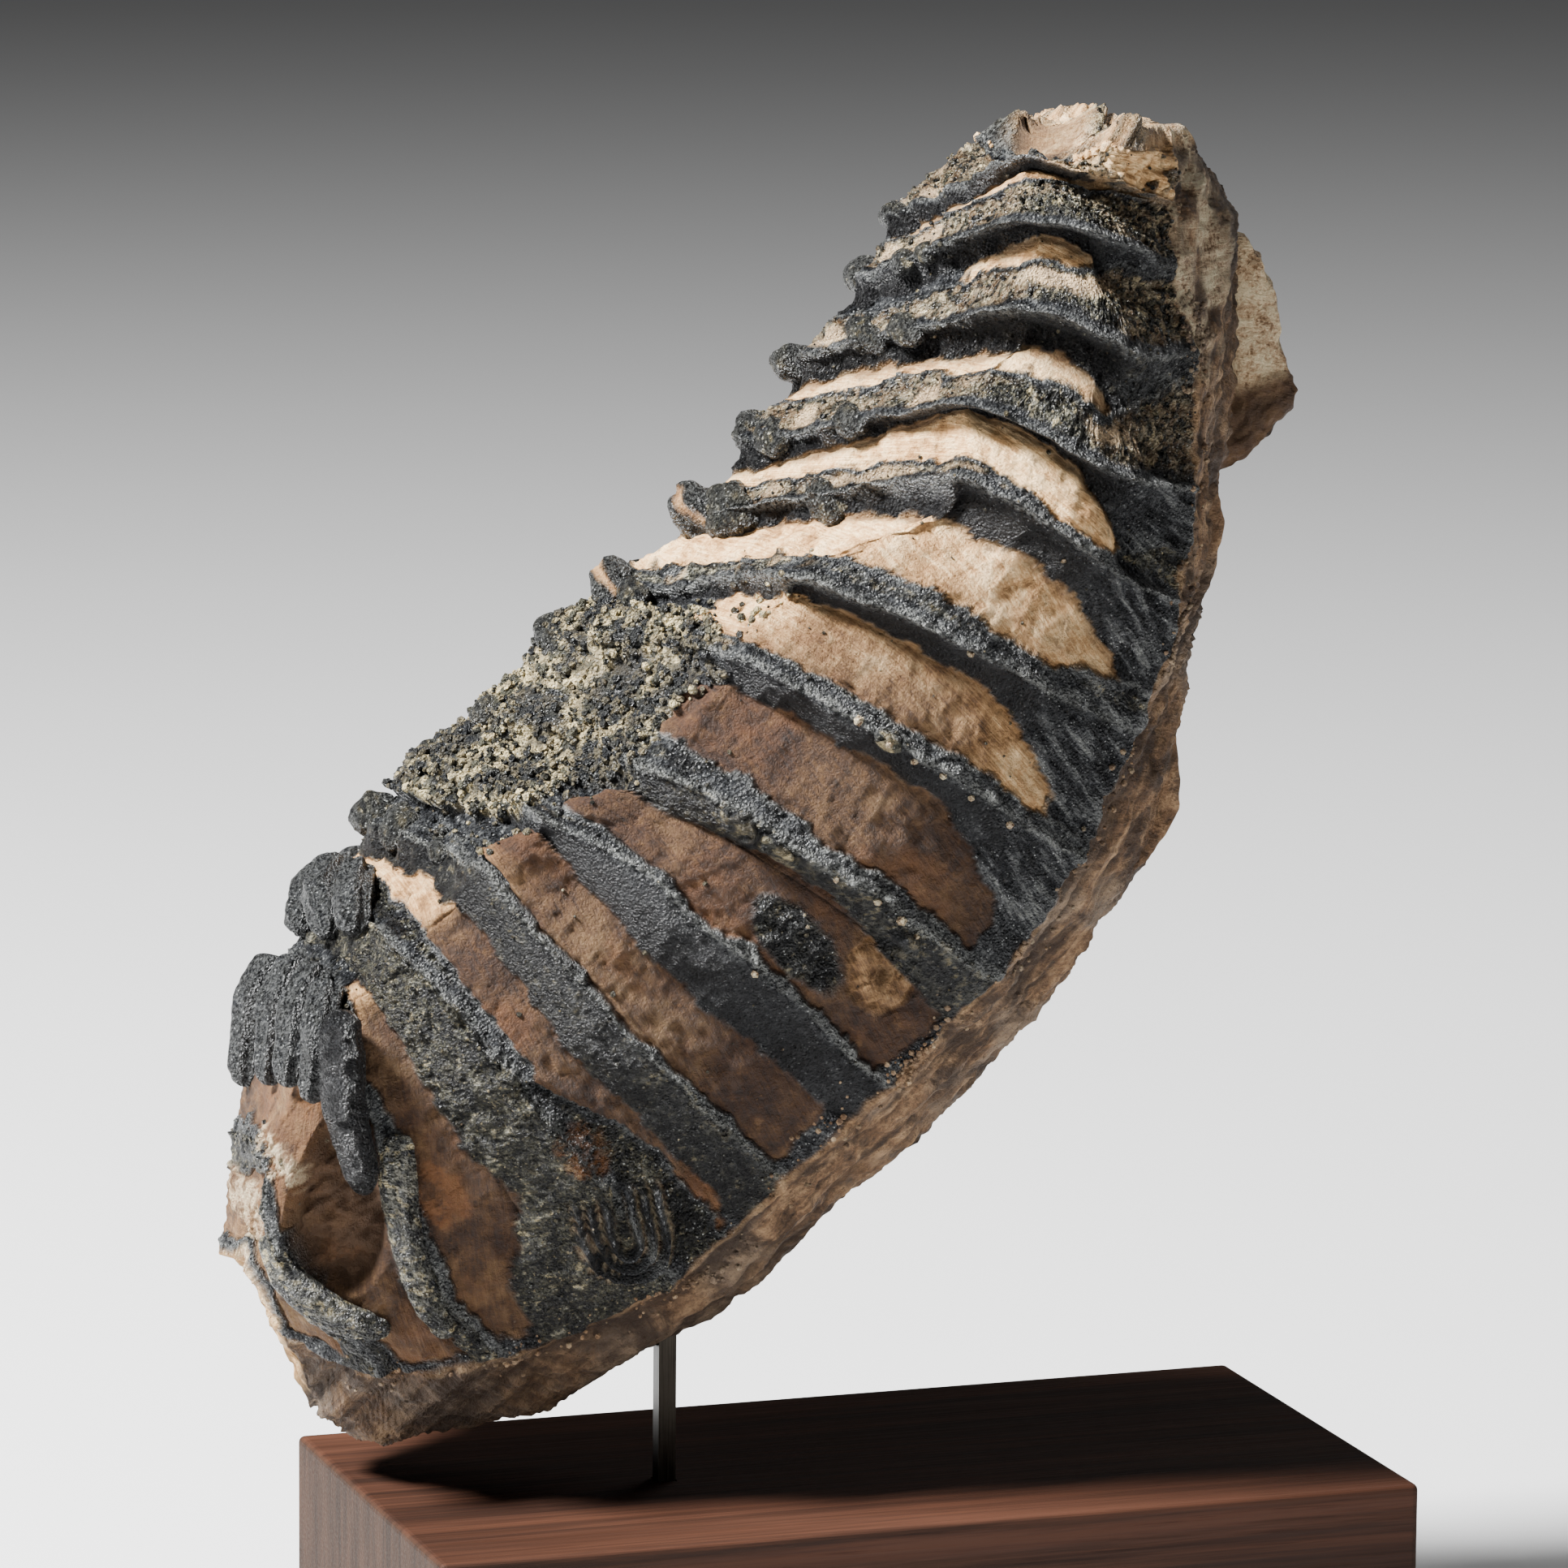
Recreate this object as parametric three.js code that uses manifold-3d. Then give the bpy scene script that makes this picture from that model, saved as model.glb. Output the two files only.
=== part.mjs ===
// Fossil mammoth molar, standing oblique on a square steel bar let into a dark wood block.
// Units are millimetres, +Z is up, and the origin is the centre of the block's underside.
import * as THREE from 'three';
import Module from 'manifold-3d';
import { mergeVertices } from 'three/addons/utils/BufferGeometryUtils.js';
import { RoundedBoxGeometry } from 'three/addons/geometries/RoundedBoxGeometry.js';

// ---------------------------------------------------------------- stand
const GAP = 0.3;
const BLOCK = { length: 178, width: 90, height: 38, edge: 1.2, edgeSteps: 2 };
const BAR = { side: 3.175, x: -36, y: -3, inBlock: 20, shown: 24, inTooth: 16 };
const BAR_BOTTOM = BLOCK.height - BAR.inBlock + GAP;
const BAR_TOP = BLOCK.height + BAR.shown + BAR.inTooth;

// ---------------------------------------------------------------- tooth, driving dimensions
// The tooth has its own frame: x along its long side face, y away through the crown, z up,
// and its origin where the bar leaves the block. It is turned on the block by TURN.
const TURN = THREE.MathUtils.degToRad(-19);

// One row for each enamel plate, from the broken upper end (0) to the lower end (14):
// ridge x, z | biting edge x, z | root margin x, z | root face x, z | half thickness
const PLATES = [
  [67, 234, 49, 238, 84, 237, 94, 236, 31],
  [56, 235, 36, 227, 84, 229, 98, 228, 34],
  [57, 224, 30, 214, 85, 208, 101, 217, 37],
  [56, 210, 20, 197, 89, 186, 97, 198, 38],
  [46, 194, 10, 184, 88, 168, 96, 172, 39],
  [40, 180, -2, 171, 83, 151, 94, 153, 40],
  [22, 165, -12, 161, 77, 131, 89, 134, 40],
  [10, 155, -24, 149, 67, 111, 90, 115, 40],
  [-7, 136, -34, 136, 54, 92, 78, 95, 40],
  [-23, 124, -43, 127, 38, 76, 63, 72, 40],
  [-35, 115, -52, 117, 20, 57, 41, 53, 39],
  [-47, 101, -60, 103, 1, 40, 18, 32, 38],
  [-57, 88, -69, 86, -25, 30, -10, 12, 36],
  [-67, 63, -74, 62, -48, 25, -46, -1, 30],
  [-71, 47, -77, 42, -65, 30, -61, 7, 18],
];
const LAST = PLATES.length - 1;
// The plates of the far side run this much of a pitch nearer the lower end.
const FAR_LAG = 0.45;
// The side faces rise in a low arch between ridge and root margin, down to plate ARCH_ENDS.
const ARCH = 5.5;
const ARCH_ENDS = 11;
const SHOULDER_SAG = 2.5;
// Depths as parts of the half thickness: root margin, middle of the side, shoulder.
const MARGIN_DEPTH = 0.68;
const SIDE_DEPTH = 1.08;
const SHOULDER_DEPTH = 0.61;

// Places round a section, as parts of one turn that starts at the near root margin.
const AT = { side: 0.13, ridge: 0.27, shoulder: 0.35, bite: 0.43, farShoulder: 0.51,
  farRidge: 0.59, farSide: 0.73, farMargin: 0.86, root: 0.93 };
const CORNER = 0.026;

// Profile across one plate: place along the pitch, height, share of the overhang.
const STEPS = [
  [0.00, 1.00, 1.0],
  [0.05, 0.84, 0.8],
  [0.16, 0.34, 0.2],
  [0.38, 0.00, 0.0],
  [0.62, 0.30, 0.0],
  [0.84, 0.70, 0.2],
  [0.95, 0.92, 0.6],
];
// The overhang is a part of the pitch; LOW_HANG of it is left on the lower plates.
const OVERHANG = 0.14;
const LOW_HANG = 0.35;
// Crests stand highest on the upper plates, and BITE_CREST of that on the biting edge.
const CREST_UPPER = 7;
const CREST_LOWER = 4.5;
const BITE_CREST = 0.6;
const DIGIT = { height: 0.9, pitch: 0.06 };
const CROWN_LUMP = 0.45;
const ROOT_FIBRE = 1.1;
const ROOT_STEP = 1.2;
const END_CRUMB = 1.6;

// Columns round the crown: close together on the near side, wider on the far side.
const COLUMNS = [
  0, 0.018, 0.04, 0.065, 0.09, 0.12, 0.15, 0.18, 0.21, 0.24, 0.265, 0.285, 0.305,
  0.325, 0.345, 0.365, 0.385, 0.405, 0.425, 0.45, 0.475, 0.5, 0.53, 0.56, 0.59, 0.63,
  0.68, 0.73, 0.78, 0.825, 0.86, 0.885, 0.91, 0.93, 0.95, 0.975,
];
const UPPER_CAP = [0.38, 0.72];
const LOWER_CAP = [0.75, 0.4];

// Lumps on the crown: centre, half sizes and lean about the y axis in degrees.
const KNOBS = [
  { at: [38.5, -7, 213.5], size: [6.5, 9, 5], lean: 25 },
  { at: [27.5, -7, 199], size: [6.5, 10, 4.5], lean: 30 },
  { at: [16.5, -7, 186], size: [6, 11, 5], lean: 10 },
  { at: [6.5, -7, 172], size: [7, 11, 5.2], lean: 10 },
  { at: [-5.5, -7, 160], size: [6, 10, 4.8], lean: 0 },
  { at: [-17, -7, 148.5], size: [5.5, 9, 4.2], lean: 0 },
  { at: [-37, -7, 126], size: [5, 9, 4], lean: -20 },
  { at: [-44, -13, 114.5], size: [7, 10, 5], lean: -20 },
];
const LOBES = [
  { at: [-49.5, -15, 101], size: [8, 13, 11], lean: -25 },
  { at: [-58.5, -15, 78.5], size: [7.5, 13, 14], lean: -20 },
];
const FINGER = { top: [-54, -34, 86], foot: [-51.5, -35, 63], radius: 4.6 };
const CAVITY = { at: [64, -30, 238], size: [7, 10, 5], lean: 10 };
const HOLLOW = { at: [-57, -37, 53], size: [7.5, 7, 13], lean: 12 };

// Bone flake on the root face at the upper end, seen flat on: outline and thickness.
const FLAKE = [[92, 217], [97, 217], [100, 214], [102.5, 207], [104, 197], [106.5, 191],
  [106, 188.5], [102, 184], [96, 178], [91, 181]];
const FLAKE_THICK = 6;
const FLAKE_Y = 3;

// ---------------------------------------------------------------- helpers
const clamp = (v, lo, hi) => Math.min(hi, Math.max(lo, v));
const mix = (a, b, t) => a + (b - a) * t;
const smooth = (lo, hi, v) => {
  const t = clamp((v - lo) / (hi - lo), 0, 1);
  return t * t * (3 - 2 * t);
};

// Slow uneven swell between -1 and 1, used for the lumps of the fossil surface.
function swell(u, v, seed) {
  return (Math.sin(2.1 * u + 1.3 * v + seed) + Math.sin(2.7 * v - 1.4 * u + 2.3 * seed)
    + Math.sin(3.1 * u - 0.6 * v + 5.1 * seed)) / 3;
}

const wasm = await Module();
wasm.setup();

function toSolid(geometry) {
  const plain = geometry.clone();
  plain.deleteAttribute('normal');
  plain.deleteAttribute('uv');
  const merged = mergeVertices(plain, 1e-4);
  return new wasm.Manifold(new wasm.Mesh({
    numProp: 3,
    vertProperties: Float32Array.from(merged.attributes.position.array),
    triVerts: Uint32Array.from(merged.index.array),
  }));
}

function toGeometry(solid) {
  const mesh = solid.getMesh();
  const geometry = new THREE.BufferGeometry();
  geometry.setAttribute('position', new THREE.BufferAttribute(mesh.vertProperties, 3));
  geometry.setIndex(new THREE.BufferAttribute(mesh.triVerts, 1));
  geometry.computeVertexNormals();
  return geometry;
}

// ---------------------------------------------------------------- crown and root
// One column of the plate table at any place along the tooth, as a smooth curve.
function along(column, plate) {
  const p = clamp(plate, 0, LAST);
  const i = Math.min(LAST - 1, Math.floor(p));
  const t = p - i;
  const [a, b, c, d] = [i - 1, i, i + 1, i + 2].map((k) => PLATES[clamp(k, 0, LAST)][column]);
  return b + 0.5 * t * (c - a + t * (2 * a - 5 * b + 4 * c - d + t * (3 * (b - c) + d - a)));
}

// Corner points of the section at one plate, each with its place round the turn.
function corners(plate) {
  const far = Math.min(LAST, plate + FAR_LAG);
  const half = along(8, plate);
  const point = (column, p, y) => new THREE.Vector3(along(column, p), y, along(column + 1, p));
  const side = (p, y) => {
    const middle = point(0, p, y).lerp(point(4, p, y), 0.5);
    middle.z += ARCH * (1 - smooth(ARCH_ENDS - 3, ARCH_ENDS, p)) * smooth(0, 2, p);
    return middle;
  };
  const shoulder = (p, y) => {
    const middle = point(0, p, y).lerp(point(2, p, y), 0.5);
    middle.z -= SHOULDER_SAG;
    return middle;
  };
  return [
    [0, point(4, plate, -MARGIN_DEPTH * half)],
    [AT.side, side(plate, -SIDE_DEPTH * half)],
    [AT.ridge, point(0, plate, -half)],
    [AT.shoulder, shoulder(plate, -SHOULDER_DEPTH * half)],
    [AT.bite, point(2, plate, 0)],
    [AT.farShoulder, shoulder(far, SHOULDER_DEPTH * half)],
    [AT.farRidge, point(0, far, half)],
    [AT.farSide, side(far, SIDE_DEPTH * half)],
    [AT.farMargin, point(4, far, MARGIN_DEPTH * half)],
    [AT.root, point(6, plate, 0)],
  ];
}

// Point of the smooth body: the section's polygon averaged over a short arc.
function body(plate, turn) {
  const ring = corners(plate);
  const sum = new THREE.Vector3();
  const arc = [-1, -0.5, 0, 0.5, 1];
  for (const s of arc) {
    const t = (turn + s * CORNER + 1) % 1;
    let i = ring.length - 1;
    while (ring[i][0] > t) i -= 1;
    const [from, a] = ring[i];
    const [to, b] = i + 1 < ring.length ? ring[i + 1] : [1, ring[0][1]];
    sum.add(a.clone().lerp(b, (t - from) / (to - from)));
  }
  return sum.divideScalar(arc.length);
}

// Depth below the crests, and how far the surface is drawn back from the lower end.
function relief(plate, turn) {
  const isNear = turn < AT.bite;
  const fold = isNear ? turn : AT.farMargin - turn;
  const seed = isNear ? 0.4 : 3.7;
  const onCrown = smooth(0.015, 0.085, fold);
  const onRoot = 1 - smooth(-0.012, 0, fold);
  const q = plate - Math.floor(plate);
  let i = STEPS.length - 1;
  while (STEPS[i][0] > q + 1e-9) i -= 1;
  const [q0, h0, s0] = STEPS[i];
  const [q1, h1, s1] = i + 1 < STEPS.length ? STEPS[i + 1] : [1, 1, 1];
  const t = (q - q0) / (q1 - q0);
  const onBite = smooth(AT.ridge + 0.02, AT.bite, fold);
  const crest = mix(CREST_UPPER, CREST_LOWER, smooth(2, 7, plate)) * smooth(-0.2, 0.8, plate);
  const rough = CROWN_LUMP * swell(1.7 * plate, 26 * fold, seed)
    + onBite * DIGIT.height * Math.cos(2 * Math.PI * (fold - AT.bite) / DIGIT.pitch);
  const root = onRoot * (ROOT_FIBRE * swell(1.3 * plate, 95 * turn, seed) - ROOT_STEP);
  const below = crest * onCrown * mix(1, BITE_CREST, onBite) * (1 - mix(h0, h1, t));
  return {
    sink: below - rough - root,
    back: OVERHANG * onCrown * (1 - mix(s0, s1, t)) * mix(1, LOW_HANG, smooth(5, 7.5, plate)),
  };
}

// Finished point of the tooth at a place along it and a turn round it.
function surface(plate, turn) {
  const e = 0.02;
  const { sink, back } = relief(plate, turn);
  const at = clamp(plate, e, LAST - e);
  const run = body(at + e, turn).sub(body(at - e, turn));
  const round = body(at, turn + 0.01).sub(body(at, turn - 0.01));
  const out = new THREE.Vector3().crossVectors(round, run).normalize();
  return body(plate, turn).addScaledVector(out, -sink).addScaledVector(run, -back / (2 * e));
}

// A ring drawn in toward the middle of an end face, with crumbled lumps.
function endRing(plate, share) {
  const ring = COLUMNS.map((turn) => surface(plate, turn));
  const middle = new THREE.Vector3();
  ring.forEach((v) => middle.addScaledVector(v, 1 / ring.length));
  const inward = body(LAST / 2, 0.5).sub(middle).normalize();
  return ring.map((v, k) => {
    const crumb = END_CRUMB * swell(0.9 * k, 7 * share, plate);
    return v.lerp(middle, 1 - share).addScaledVector(inward, crumb);
  });
}

function toothBody() {
  const rings = [];
  UPPER_CAP.forEach((share) => rings.push(endRing(0, share)));
  for (let plate = 0; plate < LAST; plate += 1) {
    for (const [q] of STEPS) rings.push(COLUMNS.map((turn) => surface(plate + q, turn)));
  }
  rings.push(COLUMNS.map((turn) => surface(LAST, turn)));
  LOWER_CAP.forEach((share) => rings.push(endRing(LAST, share)));

  const n = COLUMNS.length;
  const points = rings.flat();
  const index = [];
  for (let r = 0; r + 1 < rings.length; r += 1) {
    for (let k = 0; k < n; k += 1) {
      const [a, b] = [r * n + k, r * n + (k + 1) % n];
      index.push(a, b, b + n, a, b + n, a + n);
    }
  }
  const closeEnd = (ring, flip) => {
    const pole = new THREE.Vector3();
    ring.forEach((v) => pole.addScaledVector(v, 1 / n));
    const start = points.indexOf(ring[0]);
    points.push(pole);
    for (let k = 0; k < n; k += 1) {
      const edge = [start + k, start + (k + 1) % n];
      if (flip) edge.reverse();
      index.push(points.length - 1, edge[1], edge[0]);
    }
  };
  closeEnd(rings[0], false);
  closeEnd(rings[rings.length - 1], true);
  const geometry = new THREE.BufferGeometry().setFromPoints(points);
  geometry.setIndex(index);
  return geometry;
}

// ---------------------------------------------------------------- lumps, flake and hollows
function lump({ at, size, lean }, seed, detail) {
  const geometry = new THREE.IcosahedronGeometry(1, detail);
  const place = geometry.attributes.position;
  const v = new THREE.Vector3();
  for (let i = 0; i < place.count; i += 1) {
    v.fromBufferAttribute(place, i);
    v.multiplyScalar(1 + 0.12 * swell(2.4 * v.x + v.z, 2.2 * v.y - v.z, seed));
    place.setXYZ(i, v.x, v.y, v.z);
  }
  geometry.scale(...size);
  geometry.rotateY(THREE.MathUtils.degToRad(lean));
  geometry.translate(...at);
  return geometry;
}

function fingerBody() {
  const top = new THREE.Vector3(...FINGER.top);
  const foot = new THREE.Vector3(...FINGER.foot);
  const run = top.clone().sub(foot);
  const geometry = new THREE.CapsuleGeometry(FINGER.radius, run.length(), 3, 9, 1);
  const turn = new THREE.Quaternion().setFromUnitVectors(
    new THREE.Vector3(0, 1, 0), run.clone().normalize());
  geometry.applyQuaternion(turn);
  geometry.translate(...foot.addScaledVector(run, 0.5).toArray());
  return geometry;
}

function flakeBody() {
  const outline = new THREE.Shape(FLAKE.map(([x, z]) => new THREE.Vector2(x, z)));
  const geometry = new THREE.ExtrudeGeometry(outline, {
    depth: FLAKE_THICK - 2, bevelEnabled: true, bevelSize: 1, bevelThickness: 1, bevelSegments: 1,
  });
  geometry.rotateX(Math.PI / 2);
  geometry.translate(0, FLAKE_Y + FLAKE_THICK - 1, 0);
  return geometry;
}

function toothGeometry() {
  let solid = toSolid(toothBody());
  KNOBS.forEach((knob, i) => { solid = solid.add(toSolid(lump(knob, i + 1, 1))); });
  LOBES.forEach((lobe, i) => { solid = solid.add(toSolid(lump(lobe, i + 20, 2))); });
  solid = solid.add(toSolid(fingerBody()));
  solid = solid.add(toSolid(flakeBody()));
  solid = solid.subtract(toSolid(lump(CAVITY, 31, 1)));
  solid = solid.subtract(toSolid(lump(HOLLOW, 32, 1)));
  const bore = BAR.side + 2 * GAP;
  const socket = new THREE.BoxGeometry(bore, bore, 2 * (BAR.inTooth + GAP));
  socket.translate(0, 0, BAR.shown);
  socket.rotateZ(-TURN);
  return toGeometry(solid.subtract(toSolid(socket)));
}

// ---------------------------------------------------------------- stand pieces
function blockGeometry() {
  const { length, width, height, edge, edgeSteps } = BLOCK;
  const block = new RoundedBoxGeometry(length, width, height, edgeSteps, edge);
  block.translate(0, 0, height / 2);
  const bore = BAR.side + 2 * GAP;
  const hole = new THREE.BoxGeometry(bore, bore, 2 * BAR.inBlock);
  hole.translate(BAR.x, BAR.y, height);
  return toGeometry(toSolid(block).subtract(toSolid(hole)));
}

function barGeometry() {
  const bar = new THREE.BoxGeometry(BAR.side, BAR.side, BAR_TOP - BAR_BOTTOM);
  bar.translate(0, 0, (BAR_TOP - BAR_BOTTOM) / 2);
  return bar;
}

// ---------------------------------------------------------------- assembly
function part(name, geometry, colour, roughness, metalness) {
  const material = new THREE.MeshStandardMaterial({ color: colour, roughness, metalness });
  const mesh = new THREE.Mesh(geometry, material);
  mesh.name = name;
  return mesh;
}

const model = new THREE.Group();
model.add(part('wood_block', blockGeometry(), 0x3b2019, 0.5, 0));

const bar = part('steel_bar', barGeometry(), 0x9a9894, 0.35, 1);
bar.position.set(BAR.x, BAR.y, BAR_BOTTOM);
model.add(bar);

const toothPlace = new THREE.Group();
toothPlace.position.set(BAR.x, BAR.y, BLOCK.height);
toothPlace.rotation.z = TURN;
toothPlace.add(part('tooth', toothGeometry(), 0x7d6a58, 0.75, 0));
model.add(toothPlace);

export default model;
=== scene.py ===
"""Fossil mammoth molar, standing on a square steel bar let into a dark wood block.

The tooth's skin is made in five closed lengths. A place on it is a pair: how far along the
tooth, counted in enamel plates, and how far round it, as a part of one turn. Tables give the
smooth form and the bands of enamel and cement; scattered swells and grains make it rough.
Table lengths are millimetres in the tooth's own frame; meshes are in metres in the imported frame.
"""
import math
from types import SimpleNamespace

import bpy
import numpy as np
from bpy.props import FloatProperty, FloatVectorProperty, IntProperty, PointerProperty
from mathutils import Matrix, Vector


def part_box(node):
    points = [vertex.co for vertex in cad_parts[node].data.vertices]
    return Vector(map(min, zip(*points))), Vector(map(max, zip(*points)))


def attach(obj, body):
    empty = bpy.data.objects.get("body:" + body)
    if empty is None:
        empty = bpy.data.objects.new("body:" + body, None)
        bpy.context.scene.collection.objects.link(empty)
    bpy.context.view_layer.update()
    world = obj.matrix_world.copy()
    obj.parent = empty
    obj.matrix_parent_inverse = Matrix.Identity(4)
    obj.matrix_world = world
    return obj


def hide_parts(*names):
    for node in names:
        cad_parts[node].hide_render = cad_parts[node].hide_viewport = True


bl_info = {
    "name": "Fossil mammoth tooth",
    "version": (1, 0, 0),
    "blender": (4, 5, 0),
    "location": "3D View > Sidebar > Fossil Tooth",
    "description": "Builds a fossil mammoth molar on its stand",
    "category": "Add Mesh",
}

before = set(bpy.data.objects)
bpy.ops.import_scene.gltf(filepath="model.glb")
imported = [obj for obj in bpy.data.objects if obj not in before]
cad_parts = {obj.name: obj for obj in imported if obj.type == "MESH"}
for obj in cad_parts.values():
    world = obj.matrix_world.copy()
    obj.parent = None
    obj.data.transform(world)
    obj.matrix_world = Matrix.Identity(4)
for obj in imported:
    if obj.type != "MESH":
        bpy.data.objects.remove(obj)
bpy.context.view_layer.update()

# ------------------------------------------------------------------ place of the tooth
MM = 0.001
BAR_LOW, BAR_HIGH = (Vector(corner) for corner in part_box("steel_bar"))
BLOCK_LOW, BLOCK_HIGH = (Vector(corner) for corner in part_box("wood_block"))
BLOCK_MIDDLE = (BLOCK_LOW + BLOCK_HIGH) / 2
# The tooth's frame: x along its near side, y away through the crown, z up from the bar's foot.
FOOT = np.array([(BAR_LOW.x + BAR_HIGH.x) / 2, (BAR_LOW.y + BAR_HIGH.y) / 2, BLOCK_HIGH.z])
TURN = math.radians(-19)

# ------------------------------------------------------------------ form of the tooth
# One row for each plate from the broken upper end (0) to the lower end (14). The x, z pairs
# follow the plate's crest: root margin | side 1 | side 2 | side 3 | ridge | shoulder |
# biting edge | then the middle of the root face | half thickness.
FORM = np.array([
    [83, 235, 80, 236, 76, 236, 71, 235, 67, 234, 59, 233, 52, 234, 91, 233, 31],
    [84, 226, 78, 229, 70, 232, 63, 234, 57, 235, 48, 228, 37, 221, 98, 226, 34],
    [84, 215, 79, 219, 73, 222, 65, 224, 57, 225, 44, 218, 31, 210, 101, 219, 37],
    [87, 201, 81, 201, 75, 204, 67, 209, 57, 210, 41, 205, 20, 196, 100, 208, 38],
    [88, 179, 81, 181, 72, 183, 61, 190, 47, 194, 32, 189, 11, 182, 96, 182, 39],
    [86, 159, 76, 166, 67, 173, 58, 178, 48, 183, 30, 177, 1, 169, 94, 161, 40],
    [80, 137, 64, 146, 49, 156, 35, 161, 20, 166, 11, 162, -11, 157, 90, 140, 40],
    [70, 115, 55, 126, 40, 137, 26, 146, 11, 153, 3, 150, -21, 148, 90, 119, 40],
    [56, 94, 41, 108, 26, 118, 12, 127, -3, 134, -11, 134, -32, 135, 79, 97, 40],
    [38, 76, 21, 94, 6, 108, -8, 120, -21, 124, -28, 125, -43, 126, 63, 72, 40],
    [20, 59, 6, 75, -8, 90, -21, 104, -31, 116, -38, 116, -51, 116, 41, 53, 39],
    [2, 41, -9, 60, -22, 76, -33, 89, -45, 101, -51, 106, -60, 103, 19, 33, 38],
    [-28, 27, -40, 46, -46, 64, -52, 78, -57, 88, -62, 90, -69, 86, -10, 12, 36],
    [-49, 24, -60, 37, -65, 48, -67, 57, -68, 64, -70, 65, -75, 62, -46, -1, 30],
    [-65, 30, -66, 34, -68, 39, -70, 43, -71, 47, -74, 43, -77, 42, -61, 7, 18],
], dtype=float)
LAST = len(FORM) - 1
# Places round a section, as parts of a turn; the far side repeats the near one in mirror image.
PLACES = np.array([0, 0.07, 0.13, 0.20, 0.27, 0.35, 0.43, 0.51, 0.59, 0.66, 0.73, 0.79, 0.86, 0.93])
RIDGE, BITE, FAR_RIDGE, FAR_MARGIN = (PLACES[k] for k in (4, 6, 8, 12))
# Depth of each place as a part of the half thickness, from the root margin to the biting edge.
DEPTHS = (0.68, 0.93, 1.08, 1.07, 1.0, 0.61, 0.0)
# The far side's plates run this part of a pitch nearer the lower end.
FAR_LAG = 0.45
# How far the biting edge is drawn out, as a part of its distance from the line of its neighbours.
BITE_OUT = 0.27
# Half the arc over which a section's corners are averaged, how much shorter it is at the sharp
# edges, and how far from an edge that reaches, all as parts of a turn.
ROUNDING = 0.034
SHARPENING = 0.018
SHARP_REACH = 0.03
# Distance between two plates that the patterns take, in mm.
PITCH = 16.0

# ------------------------------------------------------------------ bands of the plates
# Six places between the root margin and the crown, at which a band's width is given.
STATIONS = np.array([0.02, 0.08, 0.14, 0.20, 0.27, 0.36])
# Dark face below each crest, as a part of the pitch.
FACE = np.array([
    [0.10, 0.10, 0.10, 0.10, 0.10, 0.10],
    [0.02, 0.02, 0.02, 0.03, 0.14, 0.32],
    [0.26, 0.32, 0.32, 0.26, 0.22, 0.34],
    [1.00, 0.58, 0.38, 0.38, 0.30, 0.28],
    [1.20, 0.66, 0.10, 0.05, 0.11, 0.31],
    [0.72, 0.36, 0.34, 0.34, 0.19, 0.15],
    [0.84, 0.32, 0.26, 0.20, 0.12, 0.15],
    [0.60, 0.25, 0.23, 0.27, 0.26, 0.32],
    [0.46, 0.27, 0.24, 0.36, 0.24, 0.25],
    [0.42, 0.46, 0.48, 0.44, 0.17, 0.20],
    [0.40, 0.46, 0.53, 0.44, 0.40, 0.40],
    [0.75, 0.50, 0.55, 0.54, 0.50, 0.50],
    [0.20, 0.22, 0.04, 0.02, 0.02, 0.03],
    [0.25, 0.30, 0.30, 0.20, 0.20, 0.30],
    [0.10, 0.10, 0.10, 0.10, 0.10, 0.10],
])
# Rough brow above each crest, as a part of the pitch.
BROW = np.array([
    [0.10, 0.10, 0.10, 0.10, 0.10, 0.10],
    [0.02, 0.03, 0.05, 0.40, 0.97, 0.97],
    [0.97, 0.95, 0.90, 0.72, 0.55, 0.60],
    [0.90, 0.85, 0.66, 0.50, 0.56, 0.50],
    [0.80, 0.56, 0.45, 0.45, 0.45, 0.50],
    [0.50, 0.10, 0.09, 0.17, 0.25, 0.40],
    [0.30, 0.15, 0.24, 0.26, 0.26, 0.32],
    [0.12, 0.13, 0.12, 0.14, 0.18, 0.34],
    [0.06, 0.12, 0.15, 0.19, 0.27, 0.34],
    [0.03, 0.05, 0.04, 0.10, 0.28, 0.30],
    [0.05, 0.05, 0.04, 0.04, 0.08, 0.25],
    [0.50, 0.42, 0.14, 0.17, 0.26, 0.35],
    [0.05, 0.10, 0.18, 0.10, 0.32, 0.40],
    [0.30, 0.20, 0.15, 0.14, 0.10, 0.10],
    [0.10, 0.10, 0.10, 0.10, 0.10, 0.10],
])
# One number for each plate: height of its crest in mm, overhang as a part of the pitch, and how
# far round the cement below it reaches towards the biting edge.
CREST = np.array([3.0, 4.0, 6.5, 9.0, 6.5, 7.0, 6.0, 5.2, 4.8, 4.6, 4.0, 3.6, 3.4, 3.0, 2.5])
HANG = np.array([0, 0.05, 0.15, 0.20, 0.12, 0.10, 0.10, 0.05, 0.04, 0.03, 0.02, 0.02, 0.02, 0.0, 0.0])
WINDOW_TOP = np.array([0.25, 0.40, 0.33, 0.50, 0.50, 0.50, 0.345, 0.30, 0.288, 0.288, 0.50, 0.30,
                       0.50, 0.50, 0.5])
WINDOW_FOOT = np.array([0.0, 0.0, 0.0, 0.010, 0.058, 0.018, 0.034, 0.026, 0.010, 0.010, 0.010, 0.010,
                        0.010, 0.010, 0.010])
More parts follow.
